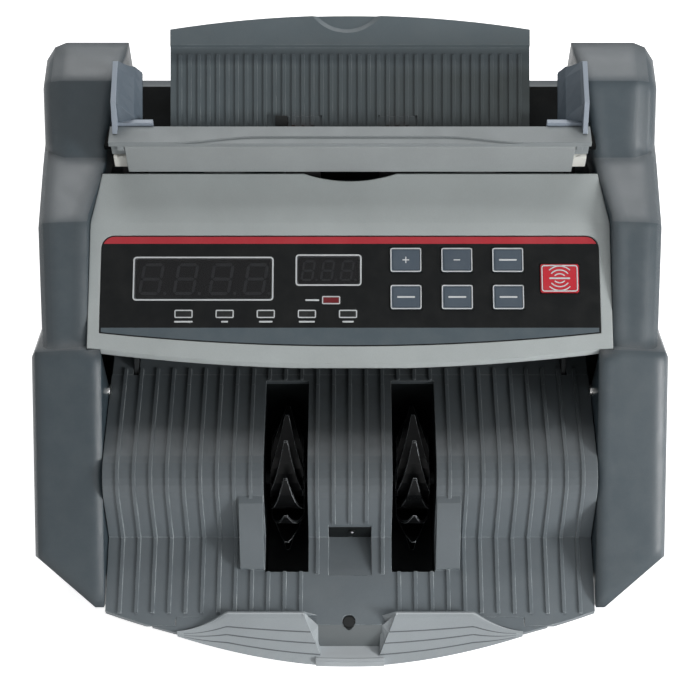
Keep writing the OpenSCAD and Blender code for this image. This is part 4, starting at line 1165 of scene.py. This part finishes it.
# smoked film over the digits, with finger smears
film = {
    "tint": (0.7, 0.7, 0.72, 1),
    "colour": linear(24, 25, 27),
    "rough": (0.08, 0.2),
    "cover": (0.3, 0.36),
    "smearScale": 120,
}


def smokedFilm():
    material, tree, out = newTree("smoked_film")
    coords = add(tree, "ShaderNodeTexCoord", -900, 0).outputs["Object"]
    smear = noise(tree, coords, film["smearScale"], 5, 0.6, -700, 0)
    clear = add(tree, "ShaderNodeBsdfTransparent", 0, 150)
    clear.inputs["Color"].default_value = film["tint"]
    gloss = add(tree, "ShaderNodeBsdfPrincipled", 0, 0)
    gloss.inputs["Base Color"].default_value = film["colour"]
    rough = ranged(tree, smear, 0.3, 0.7, *film["rough"], -400, 0)
    tree.links.new(rough, gloss.inputs["Roughness"])
    mix = add(tree, "ShaderNodeMixShader", 400, 0)
    cover = ranged(tree, smear, 0.3, 0.7, *film["cover"], -400, -200)
    tree.links.new(cover, mix.inputs[0])
    tree.links.new(clear.outputs[0], mix.inputs[1])
    tree.links.new(gloss.outputs[0], mix.inputs[2])
    tree.links.new(mix.outputs[0], out.inputs["Surface"])
    return material


windowFilm = smokedFilm()
for name in ("main_display_window", "batch_display_window"):
    paint(nodes[name], windowFilm)

# white print on the key caps: a frame round each, then + or - or a bar for the word
keyPrint = {
    "rows": ((40.6, ("plus", "minus", "batch")), (23.3, ("mode", "function", "add"))),
    "first": 25.5,
    "pitch": 23.3,
    "frame": (14.1, 11.2, 1, 0.5),
    "frameLow": 0.55,
    "low": 0.7,
    "high": 0.85,
    "sign": (1.5, 0.25),
    "word": (8.2, 0.8),
}


def buildKeyPrint(bm, name, u, v):
    low, high = keyPrint["low"], keyPrint["high"]
    arm, half = keyPrint["sign"]
    printedFrame(bm, u, v, *keyPrint["frame"], keyPrint["frameLow"], high)
    if name not in ("plus", "minus"):
        printedBar(bm, u, v, *keyPrint["word"], low, high)
        return
    prism(bm, rectangle(u - arm, v - half, u + arm, v + half), onPanel, low, high)
    if name == "plus":
        prism(bm, rectangle(u - half, v + half, u + half, v + arm), onPanel, low, high)
        prism(bm, rectangle(u - half, v - arm, u + half, v - half), onPanel, low, high)


for v, names in keyPrint["rows"]:
    for column, name in enumerate(names):
        u = keyPrint["first"] + keyPrint["pitch"] * column
        key = f"{name}_key"
        meshObject(
            f"{key}_print",
            lambda bm: buildKeyPrint(bm, name, u, v),
            f"{key}_cap",
            whitePrint,
        )

# arcs above and below a bar on the reset key
resetMark = {
    "place": (95.6, 32),
    "frame": (16.6, 12.4, 1.4, 0.55),
    "radii": (3.2, 5.0, 6.8),
    "spread": (46, 50, 44),
    "drop": 1.1,
    "line": 0.55,
    "word": (9.6, 0.8),
}


def buildResetPrint(bm):
    u, v = resetMark["place"]
    low, high = keyPrint["low"], keyPrint["high"]
    printedFrame(bm, u, v, *resetMark["frame"], keyPrint["frameLow"], high)
    for r, half in zip(resetMark["radii"], resetMark["spread"]):
        for turn, drop in ((90, -resetMark["drop"]), (270, resetMark["drop"])):
            arc = arcBand(u, v + drop, r, resetMark["line"], turn - half, turn + half)
            prism(bm, arc, onPanel, low, high)
    printedBar(bm, u, v, *resetMark["word"], low, high)


meshObject("reset_key_print", buildResetPrint, "reset_key_cap", whitePrint)
print("panel print")

view = {"place": (0, -0.4035, 0.6704), "down": 55, "lens": 78.1, "sensor": 36, "clipStart": 0.01}
camera = bpy.data.objects.new("camera", bpy.data.cameras.new("camera"))
scene.collection.objects.link(camera)
camera.location = view["place"]
camera.rotation_euler = (math.radians(90 - view["down"]), 0, 0)
camera.data.lens = view["lens"]
camera.data.sensor_width = view["sensor"]
camera.data.clip_start = view["clipStart"]
scene.camera = camera

lights = {
    "back": {"place": (0.0, 0.95, 1.05), "size": (1.5, 0.7), "power": 11.8},
    "frontRight": {"place": (0.98, -0.54, 0.44), "size": (0.2, 0.45), "power": 9.5},
    "front": {"place": (0.0, -1.3, 0.45), "size": (1.2, 0.4), "power": 3.1},
    "right": {"place": (0.7, -0.75, 0.85), "size": (0.5, 0.5), "power": 1.5},
}
lightsAim = Vector((0, 0, 0.08))


def areaLight(name, place, size, power):
    data = bpy.data.lights.new(name, "AREA")
    data.shape = "RECTANGLE"
    data.size, data.size_y = size
    data.energy = power
    obj = bpy.data.objects.new(name, data)
    scene.collection.objects.link(obj)
    obj.location = place
    obj.rotation_euler = (lightsAim - Vector(place)).to_track_quat("-Z", "Y").to_euler()


for name, light in lights.items():
    areaLight(name, **light)

# plain white behind the machine, and only a little of it as light on the machine
backdrop = {"white": (1, 1, 1, 1), "ambient": 0.06, "floorGlow": 0.85, "floorHalf": 3}


# 1 for rays that show the background: straight, through film and mirrored
def backgroundRays(tree, x, y):
    rays = add(tree, "ShaderNodeLightPath", x, y).outputs
    seen = combine(tree, rays["Is Camera Ray"], rays["Is Transmission Ray"], "MAXIMUM")
    return combine(tree, seen, rays["Is Glossy Ray"], "MAXIMUM")


def worldLight(tree, strength, y):
    n = add(tree, "ShaderNodeBackground", 0, y)
    n.inputs["Color"].default_value = backdrop["white"]
    n.inputs["Strength"].default_value = strength
    return n.outputs[0]


world = bpy.data.worlds.new("world")
scene.world = world
world.use_nodes = True
tree = world.node_tree
tree.nodes.clear()
worldOut = add(tree, "ShaderNodeOutputWorld", 600, 0)
seen = backgroundRays(tree, -600, 0)
ambient = worldLight(tree, backdrop["ambient"], 100)
white = worldLight(tree, 1.0, -100)
mix = add(tree, "ShaderNodeMixShader", 300, 0)
tree.links.new(seen, mix.inputs[0])
tree.links.new(ambient, mix.inputs[1])
tree.links.new(white, mix.inputs[2])
tree.links.new(mix.outputs[0], worldOut.inputs[0])

half = backdrop["floorHalf"]
corners = [(u, v, 0) for u, v in rectangle(-half, -half, half, half)]
floorMesh = bpy.data.meshes.new("floor")
floorMesh.from_pydata(corners, [], [(0, 1, 2, 3)])
floor = bpy.data.objects.new("floor", floorMesh)
scene.collection.objects.link(floor)
floorLook = {
    "colour": (0.92, 0.92, 0.92, 1),
    "rough": 0.8,
    "mottle": 0.01,
    "speckle": 0.0,
    "grain": 0.05,
    "dust": 0.0,
    "wearAndHighlight": 0.0,
}
floorMaterial = surface("floor", floorLook)
tree = floorMaterial.node_tree
floorOut = next(n for n in tree.nodes if n.type == "OUTPUT_MATERIAL")
matte = floorOut.inputs["Surface"].links[0].from_socket
seen = backgroundRays(tree, 400, 500)
glow = add(tree, "ShaderNodeEmission", 400, 300)
glow.inputs["Color"].default_value = backdrop["white"]
tree.links.new(combine(tree, seen, backdrop["floorGlow"]), glow.inputs["Strength"])
both = add(tree, "ShaderNodeAddShader", 700, 200)
tree.links.new(matte, both.inputs[0])
tree.links.new(glow.outputs[0], both.inputs[1])
tree.links.new(both.outputs[0], floorOut.inputs["Surface"])
paint(floor, floorMaterial)
scene.view_settings.view_transform = "Standard"
print("camera, lights, floor")
